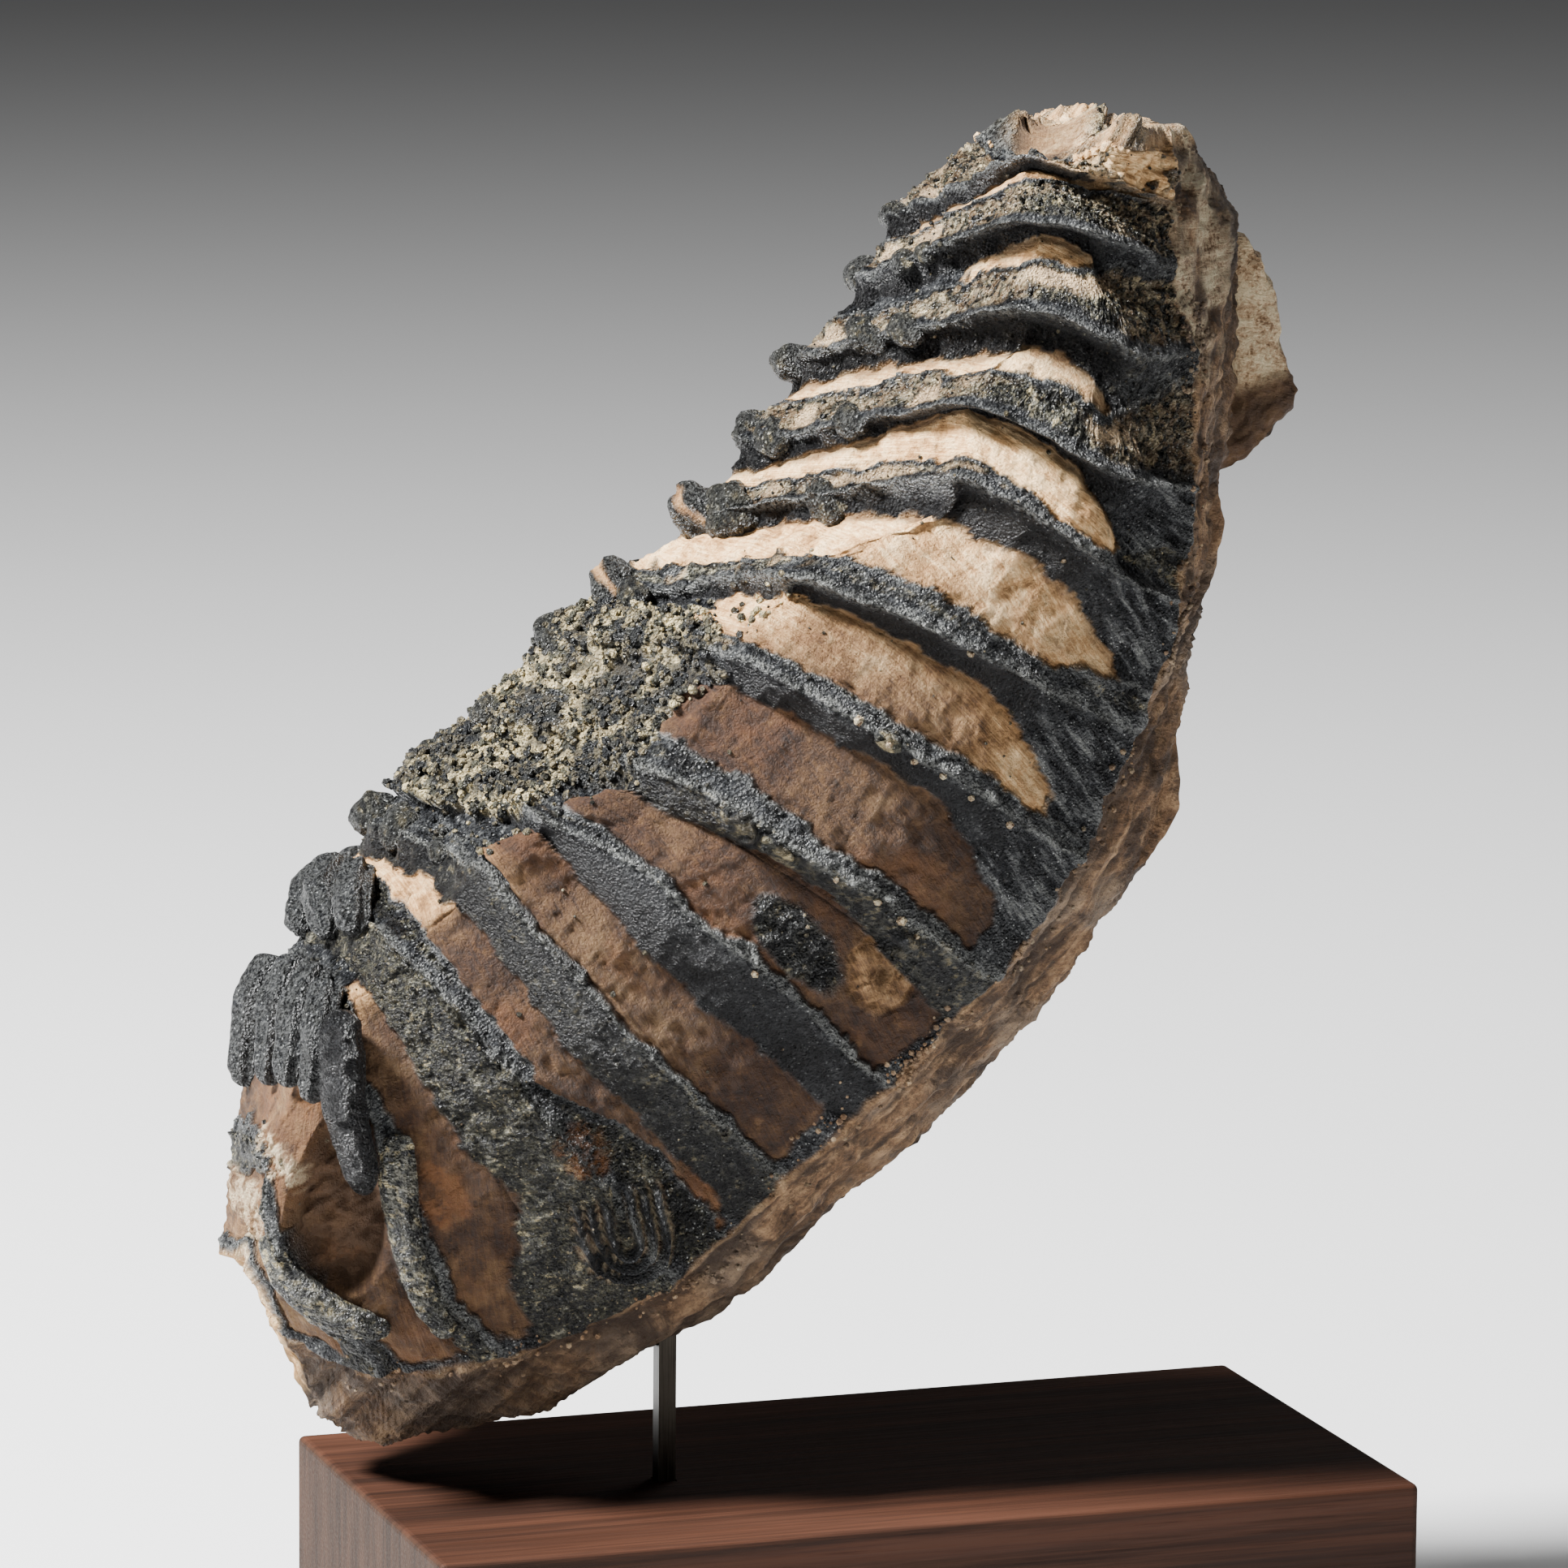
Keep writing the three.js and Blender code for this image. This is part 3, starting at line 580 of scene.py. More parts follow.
def roughen_crown(s):
    """Lift in mm of each surface of the crown: lumps, grains, fibres and pits, by its masks."""
    place = s.place
    s.dome, s.value = grains(place, 0.85, 11)
    s.chunk, s.chunk_value = grains(place, 2.0, 21)
    dome, chunk = s.dome, s.chunk
    streak = drawn(s, 7, 1.2, 31, 2)
    fibre = drawn(s, 5, 0.65, 41, 2)
    s.lumps = cloud(place, 7, 51, 3)
    s.small = small = cloud(place, 2.4, 55, 2)
    pits = np.clip(swell(place, 1.4, 61) - 0.60, 0, 1) * 0.8
    s.edge = smooth(0.0, 0.10, s.true_q - s.face_part) * smooth(0.0, 0.08, 1 - s.brow - s.true_q)
    biting = smooth(0.27, 0.33, s.fold) * s.crown * (1 - s.crust) * smooth(11.6, 10.8, s.p)
    for mask, lift in (
            (s.cement, 0.42 * s.lumps + 0.26 * fibre + 0.32 * small - 1.0 * pits - 0.45 * (1 - s.edge)),
            (s.enamel * (1 - 0.6 * s.slate), 0.24 * (dome - 0.3) + 0.38 * s.lumps + 0.36 * small),
            (biting * (0.6 + 0.6 * s.enamel), swells(place, (1.1, 5.5, 73), (0.7, 2.8, 74)) + 0.3 * chunk),
            (s.broken, 0.9 * chunk + 1.2 * swell(place, 5, 75) + 0.6 * swell(place, 2.5, 76)),
            (s.on_face, 0.25 * streak + 0.9 * s.teeth * s.crown_side),
            (1 - 0.6 * s.crust, s.lip * (0.40 + 0.45 * small) + s.rim * (0.40 + 0.35 * small)),
            (s.core, 0.40 * (dome - 0.2) + 0.45 * streak - 0.55),
            (s.beige, -0.5 * (dome - 0.2)),
            (s.on_face * GRIT_FACE[s.plate], 0.30 * dome + 0.4 * small),
            (s.crust, 0.95 * chunk + 1.0 * swell(place, 5, 71) + 0.35 * dome + 1.3),
            (s.patch, 0.5 * small - 0.4)):
        s.lift = s.lift + mask * lift


def ridge_and_margin(s):
    """Rounded tops of the cements at the ridge, drawn-out streaks beside the root, a step and a crack."""
    s.block = s.cement * smooth(s.top - 0.07, s.top - 0.025, s.fold)
    s.block = s.block * (1 - smooth(s.top - 0.010, s.top + 0.004, s.fold))
    near_ridge = s.cement * np.exp(-((s.fold - 0.268) / 0.016) ** 2) * smooth(5.0, 6.0, s.p)
    s.lift = s.lift + s.block * PROUD[s.plate] + 0.45 * near_ridge * drawn(s, 1.1, 30, 36)
    c, n = math.cos(COMB_LEAN), math.sin(COMB_LEAN)
    leaning = [(s.along * c + s.across * n) / 7, (s.across * c - s.along * n) / 1.3, s.side]
    s.comb = cloud(np.stack(leaning, axis=-1), 1.0, 38, 2)
    s.lift = s.lift + 0.8 * s.margin * s.comb + 0.8 * s.crown * (1 - smooth(0.0, 0.010, s.fold)) * s.enamel
    s.lift = s.lift - 1.6 * s.on_brow * (s.plate == STEPPED_PLATE) * smooth(0.03, 0.08, s.fold)
    line = (s.true_q - 1 + s.brow_part + 0.25 * s.rag) * PITCH
    s.crack = np.exp(-(line / 0.35) ** 2) * (s.plate == CRACKED_PLATE)
    s.crack = s.crack * smooth(0.10, 0.13, s.fold) * (1 - smooth(0.26, 0.28, s.fold))
    s.lift = s.lift - 1.3 * s.crack * s.crown


def roughen_root(s):
    """Long fibres, ledges and splits of the root strip, which is drawn in under the crown's margin.
    Its low places and its lower end take painted shade.
    """
    s.root = 1 - s.crown
    layer = 0.2 + 0 * s.p
    flaky = drawn(s, 1.3, 12, 81, 3, layer)
    ledge = drawn(s, 6, 22, 85, 2, layer)
    splits = np.clip(drawn(s, 1.6, 9, 83, 1, layer) - 0.35, 0, 1)
    calm = mix(0.45, 1.0, smooth(2.8, 4.0, s.p))
    s.lift = s.lift + s.root * (
        calm * (0.7 * flaky + 1.7 * ledge) + 0.9 * s.lumps + 0.45 * s.small + 0.25 * s.dome - 1.8 * splits
        - 0.8 * smooth(0, 0.02, -s.fold))
    # Painted shade: darker root in its low places and towards the lower end.
    hollows = smooth(0.2, -0.6, flaky + ledge + 0.5 * s.lumps)
    s.depth = s.root * np.maximum(hollows, 0.55 * smooth(9.8, 11.5, s.p))


def rosette(s):
    """A round mark of thirteen petals: a cosine of the angle, strongest halfway out, and a pit."""
    x, z = s.place[..., 0], s.place[..., 2]
    rose = spot(s.place, *ROSETTE)
    radius = np.sqrt(1 - np.clip(rose, 0, 1)) * (1 + 0.3 * swell(s.place, 3, 87))
    angle = np.arctan2(z - ROSETTE[1], x - ROSETTE[0])
    rays = np.cos(13 * angle + 5 * swell(s.place, 2.5, 88))
    petals = 1.8 * rays * radius * (1 - radius) + 1.3 * smooth(0.95, 0.35, radius)
    petals = petals - 1.9 * smooth(0.30, 0.0, radius) - 0.6 * np.exp(-((radius - 0.88) / 0.12) ** 2)
    s.lift = s.lift + np.where(rose > 0, petals, 0)
    s.disc = smooth(0.02, 0.30, rose * (1 + 0.4 * swell(s.place, 2.5, 91)))
    brown = 0.8 * smooth(0.32, 0.05, radius) + 0.4 * s.disc * smooth(0.1, 0.9, -rays)
    s.rose_brown = brown * (rose > 0)


def lower_hollow(s):
    """The hollow of the lower end: an oval sunk 4.8 mm, cut off on its left by a chipped edge."""
    x, z = s.place[..., 0], s.place[..., 2]
    s.past_chip = x - np.interp(z, CHIP_HEIGHTS, CHIP_LINE) + 0.5 * swell(s.place, 2.5, 89)
    s.near_side = np.where(s.place[..., 1] < 0, 1.0, 0.0) * s.crown
    s.chip = s.near_side * smooth(43, 47, z) * smooth(73, 69, z)
    hollow = smooth(0.0, 0.25, spot(s.place, *HOLLOW))
    s.hollow = hollow * mix(1, smooth(-0.2, 0.9, s.past_chip), s.chip)
    s.enamel = s.enamel * (1 - s.hollow)
    floor = 1.0 * s.small + 0.9 * swell(s.place, 3.4, 104) + 0.5 * s.chunk - 4.8
    raised = 1.5 * s.chip * smooth(0.2, -0.2, s.past_chip) * smooth(-7, -1, s.past_chip)
    s.lift = s.lift + s.hollow * floor + raised


def nested_loops(s):
    """Nested loops: a cosine of the distance from an upright line with a round foot."""
    dx, dz = s.place[..., 0] - LOOP_FOOT[0], s.place[..., 2] - LOOP_FOOT[1]
    c, n = math.cos(LOOP_LEAN), math.sin(LOOP_LEAN)
    u, v = dx * c + dz * n, dz * c - dx * n
    s.reach = np.where(v > 0, np.abs(u), np.hypot(u, v)) + 0.4 * swell(s.place, 3, 90)
    s.loops = s.near_side * smooth(8.6, 8.0, s.reach) * smooth(10, 6, v) * smooth(0.8, 2.2, s.reach)
    s.lift = s.lift + s.loops * (1.5 * np.cos(2 * np.pi * s.reach / LOOP_PITCH) + 0.6)


def weathering(s):
    """Rust, pale chips and grains, painted light on some brows and on the root's upper front, and the
    cement's brown stain. The stain also paints shade towards the lower end and is lessened as painted light
    at the ridge.
    """
    rust = np.max([spot(s.place, *oval) for oval in RUST_SPOTS], axis=0)
    s.rust = smooth(0.1, 0.6, rust * (1 + 0.9 * swell(s.place, 2.5, 97))) * s.crown
    pale = np.max([spot(s.place, *oval) for oval in PALE_SPOTS], axis=0)
    pale = smooth(0.15, 0.5, pale * (1 + 0.9 * swell(s.place, 2.0, 98))) * s.crown
    pale = pale * (1 - smooth(0.2, 0.9, s.past_chip) * s.chip)
    s.lift = s.lift + pale * 0.7 * s.dome
    # Painted light: a paler upper front of the root strip, mottled by a cloud.
    weathered = s.root * smooth(3.6, 2.6, s.p)
    weathered = weathered * smooth(-0.055, -0.03, np.where(s.t > 0.5, s.t - 1, s.t))
    # Painted light: paler grit on the upper brows beside the root and at the ridge.
    bright = np.maximum(smooth(0.15, 0.09, s.fold) * smooth(4.4, 3.8, s.p),
                        0.8 * smooth(0.24, 0.28, s.fold) * smooth(5.9, 5.5, s.p))
    s.pale = np.max([
        0.48 * pale * smooth(-0.4, 0.2, swell(s.place, 1.2, 99)),
        0.5 * s.loops * smooth(0.6, 0.95, np.cos(2 * np.pi * (s.reach - 1.1) / LOOP_PITCH)),
        0.70 * weathered * smooth(-0.6, 0.2, cloud(s.place, 5, 102, 2)),
        0.18 * s.gritty * s.on_brow * bright * smooth(0.25, 0.75, s.value)], axis=0)
    # Brown stain by place along the tooth; towards the lower end it also paints shade.
    stain = np.interp(s.p, STAIN_PLATES, STAIN_AND_SHADE)
    # Painted light: less stain where the upper windows meet the ridge, on some tops of the cement blocks, and
    # on the stepped plate's cement at the ridge.
    painted_ridge_light = mix(0.80, 0.0, smooth(6.5, 7.1, s.p)) * smooth(0.225, 0.262, s.fold)
    painted_block_light = np.interp(s.p, (6.9, 7.3, 9.6, 10.0), (0.35, 0.0, 0.0, 0.5)) * s.block
    for part in (painted_ridge_light, painted_block_light, 0.75 * smooth(0.25, 0.31, s.fold) * (s.plate == STEPPED_PLATE),
                 0.25 * s.disc, 0.45 * smooth(0.12, 0.07, s.fold) * (s.plate == PALE_TIP_PLATE)):
        stain = stain * (1 - part)
    s.stain = stain * s.crown


def tooth_fields(p, t, at, run, along):
    """Everything that varies over the skin, at arrays of places: lift, pull back and masks."""
    s = plate_bands(p, t, at, run)
    s.along, s.across = along, PITCH * (p - s.back)
    s.side = 0.37 * np.sign(s.place[..., 1])
    s.crown_side = smooth(0.26, 0.30, s.fold)
    s.teeth = drawn(s, 1.7, 9, 15)
    s.rag = swells(s.place, (0.035, 3.4, 3), (0.018, 1.3, 4)) * (1 + s.crown_side)
    s.rag = s.rag + 0.035 * s.teeth * s.crown_side
    for step in (drop_from_crests, enamel_masks, core_masks, edge_masks, roughen_crown, ridge_and_margin,
                 roughen_root, rosette, lower_hollow, nested_loops, weathering):
        step(s)
    olive = smooth(9.4, 10.2, p + 0.4 * swell(s.place, 8, 103)) + s.patch + 0.80 * smooth(5.6, 4.6, p)
    return {
        "lift": s.lift, "back": s.back, "enamel": s.enamel * (1 - 0.9 * s.pale), "beige": s.beige,
        "gritty": s.gritty * (1 - s.loops), "crust": s.crust, "root": s.root, "grit": s.value,
        "chunk": s.chunk_value, "dome": np.clip(s.dome, 0, 1), "stain": s.stain, "shade": s.shade,
        "hollow": np.maximum(s.hollow, s.rose_brown), "lip": np.maximum(s.lip, s.rim),
        # The edge mask paints shade along the sunken window edges and in the crack.
        "edge": np.maximum((1 - s.edge) * s.cement, s.crack), "rust": s.rust, "pale": s.pale,
        "slate": s.slate, "comb": 0.5 + 0.5 * np.clip(s.comb, -1, 1), "margin": s.margin * (1 - s.hollow),
        "olive": olive, "depth": s.depth,
    }


MASKS = ("enamel", "gritty", "beige", "crust", "root", "grit", "chunk", "dome", "hollow",
         "stain", "lip", "edge", "shade", "rust", "pale", "slate", "comb", "margin", "depth", "olive")


# ------------------------------------------------------------------ meshes
def make_mesh(name, points, quads, tris=None, flat=None, values=None):
    """A mesh object from whole arrays. Faces marked flat are shaded flat; the rest are smooth."""
    mesh = bpy.data.meshes.new(name)
    tris = np.zeros((0, 3), int) if tris is None else tris
    counts = np.concatenate([np.full(len(quads), 4), np.full(len(tris), 3)]).astype(np.int32)
    loops = np.concatenate([np.ravel(quads), np.ravel(tris)]).astype(np.int32)
    mesh.vertices.add(len(points))
    mesh.vertices.foreach_set("co", np.ravel(points).astype(np.float32))
    mesh.loops.add(len(loops))
    mesh.loops.foreach_set("vertex_index", loops)
    mesh.polygons.add(len(counts))
    mesh.polygons.foreach_set("loop_start", np.concatenate([[0], np.cumsum(counts)[:-1]]).astype(np.int32))
    shade = np.ones(len(counts), bool)
    if flat is not None:
        shade[flat] = False
    mesh.polygons.foreach_set("use_smooth", shade)
    for key, data in (values or {}).items():
        layer = mesh.attributes.new(key, "FLOAT", "POINT")
        layer.data.foreach_set("value", np.ravel(data).astype(np.float32))
    mesh.update(calc_edges=True)
    mesh.validate()
    piece = bpy.data.objects.new(name, mesh)
    bpy.context.scene.collection.objects.link(piece)
    return piece


def tube_faces(rows, columns):
    """Quads of a closed tube: rows of columns points, the last column joined to the first."""
    r, c = np.meshgrid(np.arange(rows - 1), np.arange(columns), indexing="ij")
    a = r * columns + c
    b = r * columns + (c + 1) % columns
    return np.stack([a, b, b + columns, a + columns], axis=-1).reshape(-1, 4)


def closed_grid(points):
    """Quads and triangles of many closed forms, each rows of rings with a pole at either end.

    points: forms x rows x columns x 3. Poles are the middles of the first and the last ring.
    """
    forms, rows, columns = points.shape[:3]
    poles = np.stack([points[:, 0].mean(axis=1), points[:, -1].mean(axis=1)], axis=1)
    vertices = np.concatenate([points.reshape(forms, -1, 3), poles], axis=1)
    c = np.arange(columns)
    following = (c + 1) % columns
    last = (rows - 1) * columns
    tris = np.concatenate([
        np.stack([np.full(columns, rows * columns), following, c], axis=-1),
        np.stack([np.full(columns, rows * columns + 1), last + c, last + following], axis=-1)])
    offset = (np.arange(forms) * vertices.shape[1])[:, None, None]
    quads = (tube_faces(rows, columns)[None] + offset).reshape(-1, 4)
    return vertices.reshape(-1, 3), quads, (tris[None] + offset).reshape(-1, 3)


def ring_ends(values):
    """Values on forms x rows x columns, with each pole's mean added at the end of its form."""
    flat = values.reshape(len(values), -1)
    first, last = (values[:, row].mean(axis=1)[:, None] for row in (0, -1))
    return np.concatenate([flat, first, last], axis=1).ravel()


def finish_piece(piece, material, slot, *nodes):
    """Gives a new piece its material and its body, and hides the CAD nodes it stands for."""
    piece.data.materials.append(material)
    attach(piece, "root")
    if nodes:
        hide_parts(*nodes)
    return piece


def column_places():
    """Turns of the columns, evenly spaced inside each span."""
    spans = [np.linspace(a, b, n, endpoint=False) for a, b, n in COLUMN_SPANS]
    return np.concatenate(spans)


def tooth_skin(p, t):
    """Finished points and masks on a grid: form, pulled back along it and lifted out of it."""
    at, run, out = frame_of(form_grid, p, t)
    step = np.linalg.norm(np.diff(at, axis=1), axis=-1)
    along = np.concatenate([np.zeros((len(p), 1)), np.cumsum(step, axis=1)], axis=1)
    along = along - along[:, [np.searchsorted(t, RIDGE)]]
    pp, tt = np.meshgrid(p, t, indexing="ij")
    fields = tooth_fields(pp, tt, at, run, along)
    points = at - run * fields["back"][..., None] + out * fields["lift"][..., None]
    fields["along"] = along
    fields["across"] = PITCH * (pp - fields["back"])
    return points, fields


def row_places(start, stop):
    """Places of the rows: closer together towards each crest, by a sine of the plate's part."""
    u = np.linspace(start, stop, 1 + round((stop - start) * ROWS_PER_PLATE))
    q = u - 0.5 * np.sin(2 * np.pi * u) / (2 * np.pi)
    return np.clip(q, 0, LAST)


def cap_rings(points, fields, row, sign):
    """Rings from an end of the skin to its middle, domed and broken into crumbs, with painted shade
    in the upper end's cavity.

    sign is 1 for rings laid before the first row and -1 for rings laid after the last.
    """
    upper = float(sign > 0)
    ring = points[row]
    middle = ring.mean(axis=0)
    share = np.cos(0.5 * np.pi * np.linspace(0, 1, CAP_RINGS + 1)[1:-1])
    inward = (1 - share)[:, None]
    axis = middle - points[row + 12 * sign].mean(axis=0)
    axis /= np.linalg.norm(axis)
    at = middle + share[:, None, None] * (ring - middle)
    dome, value = grains(at, 2.0, 91)
    crumbs = 2.0 * cloud(at, 7, 95, 4) + 1.4 * dome + 0.8 * swell(at, 1.6, 97)
    edge = smooth(0, mix(0.2, 0.12, upper), inward)
    lift = edge * (crumbs * mix(0.4, 1.0, upper) + 1.0)
    x, y = at[..., 0], at[..., 1]
    cavity, ridge = 0 * x, 0 * x
    if upper:
        lift, cavity, ridge = broken_end(at, lift, edge, inward)
    crumb_mask = smooth(-0.2, 0.2, cloud(at, 6, 99, 3))
    left = upper * smooth(60, 55, x + 2 * swell(at, 6, 101))
    grey = np.maximum(np.maximum(mix(0.3, 0.6, upper) * crumb_mask, ridge), left) * (1 - cavity)
    whitish = smooth(-0.1, 0.4, cloud(at, 5, 93, 2)) * (1 - cavity) * (1 - ridge)
    whitish = whitish * mix(1, smooth(64, 69, x), upper)
    # Painted shade in the cavity's left half and in its near part.
    painted_cavity_shade = cavity * np.maximum(smooth(1, -4, x - CAVITY[0]), 0.7 * smooth(-14, -18, y))
    fade = smooth(0, 0.2, inward)
    masks = {key: np.repeat(fields[key][row][None], len(share), axis=0) for key in fields}
    masks["across"] = masks["across"] - PITCH * inward + 5 * fade * swell(at, 6, 106)
    masks["along"] = masks["along"] + 9 * fade * swell(at, 7, 107)
    for key, target in (
            ("enamel", grey), ("gritty", grey), ("root", 0 * grey), ("margin", 0 * grey),
            ("depth", 0 * grey), ("crust", 0.3 * grey), ("grit", value), ("pale", 0.7 * whitish),
            ("stain", 0.1 + 0.6 * cavity), ("shade", 0.85 * painted_cavity_shade), ("olive", 0.6 * grey),
            ("hollow", 0.5 * cavity)):
        masks[key] = mix(masks[key], target, fade)
    return at + axis * lift[..., None], masks


def broken_end(at, lift, edge, inward):
    """The broken upper end: a bowl that rises away from the near side, a ridge and a rounded end.

    The ridge falls off as a bell curve from a line. Returns the lift, the bowl's and the ridge's masks.
    """
    x, y = at[..., 0], at[..., 1]
    (x0, y0), (x1, y1) = GREY_RIDGE
    along = ((x - x0) * (x1 - x0) + (y - y0) * (y1 - y0)) / ((x1 - x0) ** 2 + (y1 - y0) ** 2)
    along = np.clip(along, 0, 1)
    gap = np.hypot(x - mix(x0, x1, along), y - mix(y0, y1, along))
    ridge = np.exp(-((gap + 0.6 * swell(at, 4, 96)) / 2.6) ** 2)
    reach = ((x - CAVITY[0]) / CAVITY[2]) ** 2 + ((y - CAVITY[1]) / CAVITY[3]) ** 2
    cavity = smooth(1.40, 0.70, reach + 0.25 * swell(at, 5, 98))
    lift = lift + edge * smooth(8, -8, y) * (2.2 + 2.5 * swell(at, 8, 100)) + 1.8 * ridge
    rounded = 4.4 * smooth(0, 0.30, inward) ** 0.6 + 0.5 * swell(at, 4, 105)
    lift = mix(lift, rounded, smooth(74, 78, x))
    bowl = 5.0 * smooth(-17, -5, y) - 1.6 * smooth(-5, 0, x - CAVITY[0]) * smooth(5, 0, x - CAVITY[0])
    bowl = bowl - 1.2 + 0.4 * swell(at, 3, 94)
    return mix(lift, bowl, cavity * smooth(0, 0.05, inward)), cavity, ridge


def tooth_length(name, start, stop):
    """One closed length of the tooth between two places along it."""
    points, fields = tooth_skin(row_places(start, stop), column_places())
    parts, mask_parts = [points], [fields]
    if start == 0:
        rings, masks = cap_rings(points, fields, 0, 1)
        parts.insert(0, rings[::-1])
        mask_parts.insert(0, {key: mask[::-1] for key, mask in masks.items()})
    if stop == LAST:
        rings, masks = cap_rings(points, fields, -1, -1)
        parts.append(rings)
        mask_parts.append(masks)
    vertices, quads, tris = closed_grid(np.concatenate(parts)[None])
    values = {key: ring_ends(np.concatenate([masks[key] for masks in mask_parts])[None])
              for key in MASKS + ("along", "across")}
    flat = np.arange(len(quads), len(quads) + len(tris))
    return make_mesh(name, to_frame(vertices), quads, tris, flat, values)


# ------------------------------------------------------------------ smaller pieces
def skin_frame(p, t):
    """Places on the smooth form with three unit directions: outwards, towards the lower end, round."""
    at, run, out = frame_of(form_at, np.asarray(p, float), np.asarray(t, float) % 1.0)
    run = run / np.linalg.norm(run, axis=-1, keepdims=True)
    return at, out, run, np.cross(run, out)


def eggs(centre, axes, rows, columns):
    """Egg forms: centre + the three axes times the directions of a ball, given in polar angles.

    Returns the points and the directions, both forms x rows x columns x 3. The poles lie on the
    third axis; the rings turn so that the faces look outwards.
    """
    v = np.linspace(0, np.pi, rows + 2)[1:-1]
    u = np.linspace(0, -2 * np.pi, columns, endpoint=False)
    ball = np.stack([np.sin(v)[:, None] * np.cos(u), np.sin(v)[:, None] * np.sin(u),
                     np.cos(v)[:, None] + 0 * u], axis=-1)
    points = centre[:, None, None, :] + np.einsum("rck,nkx->nrcx", ball, axes)
    return points, np.broadcast_to(ball, points.shape)


def knob_piece():
    """Rounded ends of the plates' fingers, in a row across the biting edge of each plate.

    Each is an egg, flattened along the tooth, with lumps added along its own radius. Its middle
    layer is softer cement and lies a little lower than the enamel on either side.
    """
    rng = np.random.default_rng(31)
    p, t, big, stout, layered = [], [], [], [], []
    for plate in range(1, 11):
        for turn, turn_size in zip(KNOB_TURNS, KNOB_TURN_SIZE):
            crusted = plate in CRUSTED_PLATES and turn < BITE
            at_edge = abs(turn - BITE) < 0.02
            p.append(plate + 0.06 * rng.normal() - 0.05)
            t.append(turn + 0.010 * rng.normal())
            big.append((0.6 if crusted else 1.0) * turn_size * KNOB_SIZE[plate] * (0.62 + 0.5 * rng.random()))
            stout.append(1.0 if at_edge else 0.62)
            layered.append(1.0 if at_edge and plate in LAYERED_KNOBS else 0.0)
            if at_edge:
                big[-1] = KNOB_SIZE[plate]
    p, t, big, stout, layered = (np.array(v) for v in (p, t, big, stout, layered))
    at, out, run, around = skin_frame(p, t)
    size, stout = big[:, None], stout[:, None]
    centre = at - out * (2.4 - 1.2 * stout) * size
    axes = np.stack([around * 6.4 * size, out * 4.9 * size * stout, run * 4.0 * size], axis=1)
    points, ball = eggs(centre, axes, 22, 30)
    layer = np.abs(ball[..., 2] + 0.25 * swell(points, 3.5, 203))
    core = (1 - smooth(0.10, 0.22, layer)) * layered[:, None, None]
    dome, value = grains(points, 1.1, 205)
    lumps = 0.26 * swell(points, 4, 201) + 0.17 * swell(points, 1.9, 202) + 0.07 * dome - 0.12 * core
    points = points + (points - centre[:, None, None, :]) * lumps[..., None]
    vertices, quads, tris = closed_grid(points)
    rough = np.clip(0.5 + 0.8 * swell(points, 4, 206), 0, 1) * (1 - layered[:, None, None])
    values = {"enamel": 1 - 0.9 * core, "grit": value, "lip": 0.25 + 0 * core, "gritty": rough,
              "dome": np.clip(dome, 0, 1), "stain": 0.5 + 0 * core}
    values = {key: ring_ends(mask) for key, mask in values.items()}
    return make_mesh("biting_knobs", to_frame(vertices), quads, tris, None, values)


def rod_points(places, turns, lifts, wide, tall, ribs, rib_depth, rows, columns, seed):
    """A rod laid along the skin: rings of an oval, carried along a smooth path.

    The path runs through the given plate places, turns and lifts. The oval's half width and half
    height follow their own values and close at both ends as a circle's arc. Ribs add a cosine of
    the angle round the rod, and swells roughen it.
    """
    s = np.linspace(0, 1, len(places))
    v = 0.5 - 0.5 * np.cos(np.linspace(0.04, 0.96, rows) * np.pi)
    p, t, lift = (np.interp(v, s, values) for values in (places, turns, lifts))
    for _ in range(6):
        p[1:-1] = (p[:-2] + 2 * p[1:-1] + p[2:]) / 4
        t[1:-1] = (t[:-2] + 2 * t[1:-1] + t[2:]) / 4
    at, out, _, _ = skin_frame(p, t)
    at = at + out * lift[:, None]
    ahead = np.gradient(at, axis=0)
    ahead /= np.linalg.norm(ahead, axis=1, keepdims=True)
    side = np.cross(ahead, out)
    side /= np.linalg.norm(side, axis=1, keepdims=True)
    up = np.cross(side, ahead)
    length = np.linalg.norm(np.diff(at, axis=0), axis=1).sum()
    w, h = np.interp(v, s, wide), np.interp(v, s, tall)
    gap = np.minimum(v, 1 - v) * length
    close = np.sqrt(np.clip(1 - np.clip(1 - gap / np.maximum(w, h), 0, 1) ** 2, 0.02, 1))
    u = np.linspace(0, 2 * np.pi, columns, endpoint=False)
    ring = (np.cos(u)[None, :, None] * side[:, None, :] * (w * close)[:, None, None]
            + np.sin(u)[None, :, None] * up[:, None, :] * (h * close)[:, None, None])
    points = at[:, None, :] + ring
    unit = ring / (np.linalg.norm(ring, axis=-1, keepdims=True) + 1e-9)
    rough = rib_depth * np.cos(ribs * u + 1.5 * np.sin(3 * v)[:, None]) * close[:, None]
    rough = rough + 0.22 * swell(points, 3.0, seed) + 0.20 * swell(points, 1.2, seed + 1)
    return points + unit * rough[..., None]


def rods_piece(name, rods, masks):
    """Several rods joined as one piece, with one number for each mask."""
    points = np.stack([rod_points(*rod, rows=110, columns=44, seed=300 + 7 * k)
                       for k, rod in enumerate(rods)])
    vertices, quads, tris = closed_grid(points)
    dome, value = grains(points, 1.0, 311)
    values = {"grit": ring_ends(value), "dome": ring_ends(np.clip(dome, 0, 1))}
    for key, amount in masks.items():
        values[key] = np.full(len(vertices), float(amount))
    return make_mesh(name, to_frame(vertices), quads, tris, None, values)


